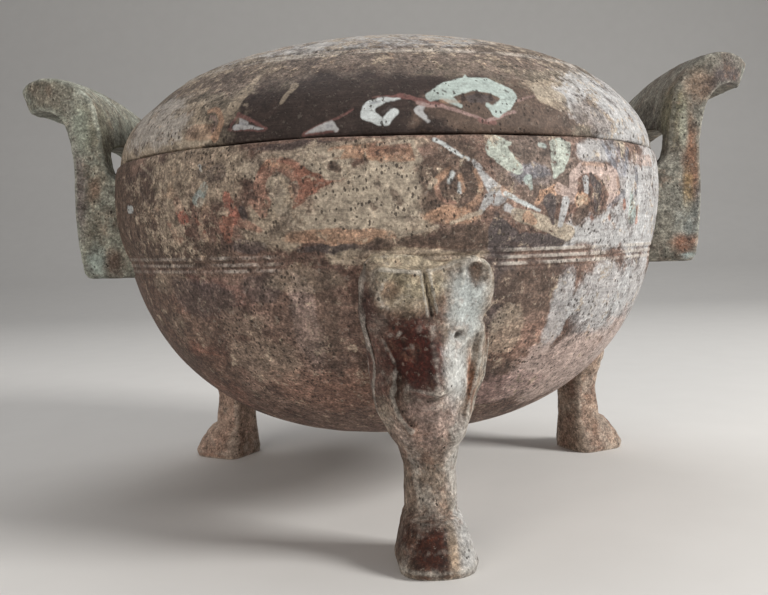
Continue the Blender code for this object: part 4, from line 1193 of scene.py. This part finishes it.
def head_top(x):
    """How high the head stands at a place across, in metres: two ears, and a dip between."""
    for (ax, az), (bx, bz) in zip(HEAD_TOP, HEAD_TOP[1:]):
        if x / MM <= bx:
            return MM * (az + (bz - az) * smooth_step(ax, bx, x / MM))
    return MM * HEAD_TOP[-1][1]


print(len(FACE_STROKES), "strokes on each face")

# %% [markdown]
# The back of a leg is luted to the bowl. Its upper half is kept inside the thickness of the bowl's
# wall, so nothing shows in the hollow. Where its sides meet the bowl, the potter smoothed a little
# wet clay into the joint, and a small flare does the same here.

# %% Legs
def back_cosine(share):
    """Even steps round the back of a section: down one side, across, and up the other."""
    turned = min(share, 1.0 - share) / 0.3
    if turned < 1.0:
        cosine = (1.0 - (0.94 * turned) ** 6) ** (1.0 / 6.0)
    else:
        cosine = 0.823 * (1.0 - 1.5 * (turned - 1.0))
    return -cosine if share < 0.5 else cosine


def lean_cheek(x, cosine, height):
    """Press the left cheek in, notch the right one below its ear, and lean both to the right."""
    if x < 0.0:
        x *= 1.0 - 0.15 * bell(height - 0.066, 0.0105)
    else:
        x -= 0.0012 * cosine ** 3 * bell(height - 0.0765, 0.0030)
    return x + 0.0018 * abs(cosine) ** 3 * smooth_step(0.046, 0.062, height)


def leg_place(side, height, foot_out, foot_aside):
    """Where an upright of the leg passes a height, on a leg that faces -Y."""
    half, reach, middle, power = leg_row(height)
    if side <= FRONT_SIDES:
        share = side / FRONT_SIDES
        cosine = 0.5 * math.cos(math.pi * share) + 0.5 * (1.0 - 2.0 * share)
        sine = math.sqrt(max(1.0 - cosine * cosine, 0.0))
        x = half * cosine
        out = middle + (reach - middle) * (1.0 - abs(cosine) ** (2.0 / power)) ** (0.5 * power)
        out += face_relief(x, height) * smooth_step(0.0, 0.35, sine)
        x = lean_cheek(x, cosine, height)
        smear = math.sqrt(max(bowl_radius(height) ** 2 - x * x, 0.0))
        smear += 0.0008 - 0.0018 * smooth_step(0.0935, 0.0975, height) - 0.0010 * smooth_step(
            0.012, 0.018, abs(x))
        if height > 0.085 and out > smear:
            out -= (out - smear) * (1.0 - smooth_step(-0.0008, 0.0012, head_top(x) - height))
    else:
        cosine = back_cosine((side - FRONT_SIDES) / BACK_SIDES)
        x = lean_cheek(half * cosine, cosine, height)
        out = middle - (middle - LEG_BACK) * (1.0 - abs(cosine) ** 6) ** (1.0 / 6.0)
    if height > 0.050:
        wall = math.sqrt(max((bowl_radius(height) - 0.0042) ** 2 - x * x, 0.0))
        out = max(out, wall)
        skin = math.sqrt(max(bowl_radius(height) ** 2 - x * x, 0.0))
        x *= 1.0 + 0.05 * bell(out - skin, 0.0016) * smooth_step(0.050, 0.060, height)
    sway = 1.0 - smooth_step(*FOOT_FADE, height)
    return Vector((x + foot_aside * sway, -out - foot_out * sway, height))


def make_leg(name, bearing, foot_out, foot_aside, turn):
    """One leg from the mould: a drum in courses, each ring drawn out to its section."""
    sides = FRONT_SIDES + BACK_SIDES
    bm = bmesh.new()
    bmesh.ops.create_cone(bm, cap_ends=True, segments=sides, radius1=1.0, radius2=1.0, depth=1.0)
    uprights = [edge for edge in bm.edges if abs(edge.verts[0].co.z - edge.verts[1].co.z) > 0.5]
    bmesh.ops.subdivide_edges(bm, edges=uprights, cuts=LEG_COURSES - 1, use_grid_fill=True)
    pivot = Vector((0.0, -LEG_PIVOT, 0.0))
    place = Matrix.Rotation(math.radians(bearing), 3, "Z")
    face_place = bm.verts.layers.float_vector.new("face_place")
    for vertex in bm.verts:
        side = round(math.atan2(vertex.co.y, vertex.co.x) / (2.0 * math.pi) * sides) % sides
        height = LEG_TOP * round((vertex.co.z + 0.5) * LEG_COURSES) / LEG_COURSES
        local = leg_place(side, height, foot_out, foot_aside)
        vertex[face_place] = (local.x / MM, height / MM, 0.0)
        facing = Matrix.Rotation(math.radians(turn) * smooth_step(*FOOT_FADE, height), 3, "Z")
        vertex.co = place @ (pivot + facing @ (local - pivot)) + Vector((0.0, AXIS_Y, 0.0))
    if bm.calc_volume(signed=True) < 0.0:
        bmesh.ops.reverse_faces(bm, faces=bm.faces)
    bmesh.ops.triangulate(bm, faces=[face for face in bm.faces if len(face.verts) > 4])
    soften(bm, [vertex for vertex in bm.verts if vertex.co.z > 0.0005], 0.35)
    roughen(bm, 0.0003, 0.00016)
    for vertex in bm.verts:
        vertex.co.z = max(vertex.co.z, 0.0)
    store_hollows(bm)
    return finish_piece(name, bm, finishes[name])


leg_front = make_leg("leg_front", 5.8, 0.0, 0.0006, 11.0)
leg_right = make_leg("leg_right", 117.0, 0.0, -0.0050, -1.0)
leg_left = make_leg("leg_left", -119.0, -0.0040, -0.0036, 6.0)

# %% [markdown]
# ## The place where it stands
# A plain pale floor and a soft studio light. The large key lamp stands high on the right and gives
# the clay its relief, a weak lamp on the left keeps the shadows open, and a lamp above lifts the
# back edge.

# %% Floor and lamps
FLOOR_LINE = ((-2.5, 0.0), (0.9, 0.0), (1.25, 0.04), (1.5, 0.18), (1.65, 0.42), (1.72, 0.8),
              (1.75, 2.5))


def make_floor():
    """A pale sheet with an upswept back, so that no horizon shows."""
    bm = bmesh.new()
    profile = [bm.verts.new((-4.0, away, height)) for away, height in FLOOR_LINE]
    edges = [bm.edges.new(pair) for pair in zip(profile, profile[1:])]
    pull(bm, bmesh.ops.extrude_edge_only(bm, edges=edges), (8.0, 0.0, 0.0))
    floor = loose_object("studio_floor", bm)
    floor.data.shade_smooth()
    material, graph, place = start_material("pale_paper")
    shader = graph.tree.nodes["Principled BSDF"]
    color = graph.mix(graph.cloud(place, 40.0, 3.0, 0.5), (0.70, 0.69, 0.67), (0.74, 0.73, 0.71))
    for label, value in (("Base Color", color), ("Roughness", 0.9), ("Specular IOR Level", 0.35)):
        graph.put(shader.inputs[label], value)
    floor.data.materials.append(material)


def add_lamp(name, place, target, size, power, color):
    """A square soft lamp that looks at a target."""
    light = bpy.data.lights.new(name, "AREA")
    light.shape, light.size, light.energy, light.color = "SQUARE", size, power, color
    lamp = bpy.data.objects.new(name, light)
    lamp.location = place
    lamp.rotation_euler = (Vector(target) - Vector(place)).to_track_quat("-Z", "Y").to_euler()
    bpy.context.scene.collection.objects.link(lamp)


make_floor()
add_lamp("key_lamp", (1.05, -0.42, 0.60), (0.02, 0.0, 0.09), 0.36, 15.5, (1.0, 0.98, 0.95))
add_lamp("fill_lamp", (-0.60, -0.95, 0.45), (0.0, 0.0, 0.09), 0.7, 4.0, (1.0, 0.92, 0.85))
add_lamp("top_lamp", (-0.1, 0.25, 1.0), (0.0, 0.0, 0.12), 0.7, 3.4, (1.0, 1.0, 1.0))
world = bpy.data.worlds.new("soft_room")
bpy.context.scene.world = world
world.use_nodes = True
room = world.node_tree.nodes["Background"].inputs
room["Color"].default_value, room["Strength"].default_value = (0.80, 0.80, 0.82, 1.0), 0.22
bpy.context.scene.view_settings.view_transform = "Standard"
print("stage ready")

# %% [markdown]
# The camera stands close, a little above the middle of the pot, and leans by less than two degrees.
# A close camera makes the front leg large and the ears flare, which a far one would flatten.

# %% Camera
lens = bpy.data.cameras.new("camera")
lens.lens, lens.sensor_width = 39.36, 36.0
lens.shift_x, lens.shift_y = -0.00924, -0.0719
lens.clip_start = 0.01
camera = bpy.data.objects.new("camera", lens)
camera.location = (0.0, -0.3625, 0.1011)
camera.rotation_euler = (math.radians(90.0), math.radians(1.8), 0.0)
bpy.context.scene.collection.objects.link(camera)
bpy.context.scene.camera = camera
print("camera", tuple(round(value, 4) for value in camera.location))
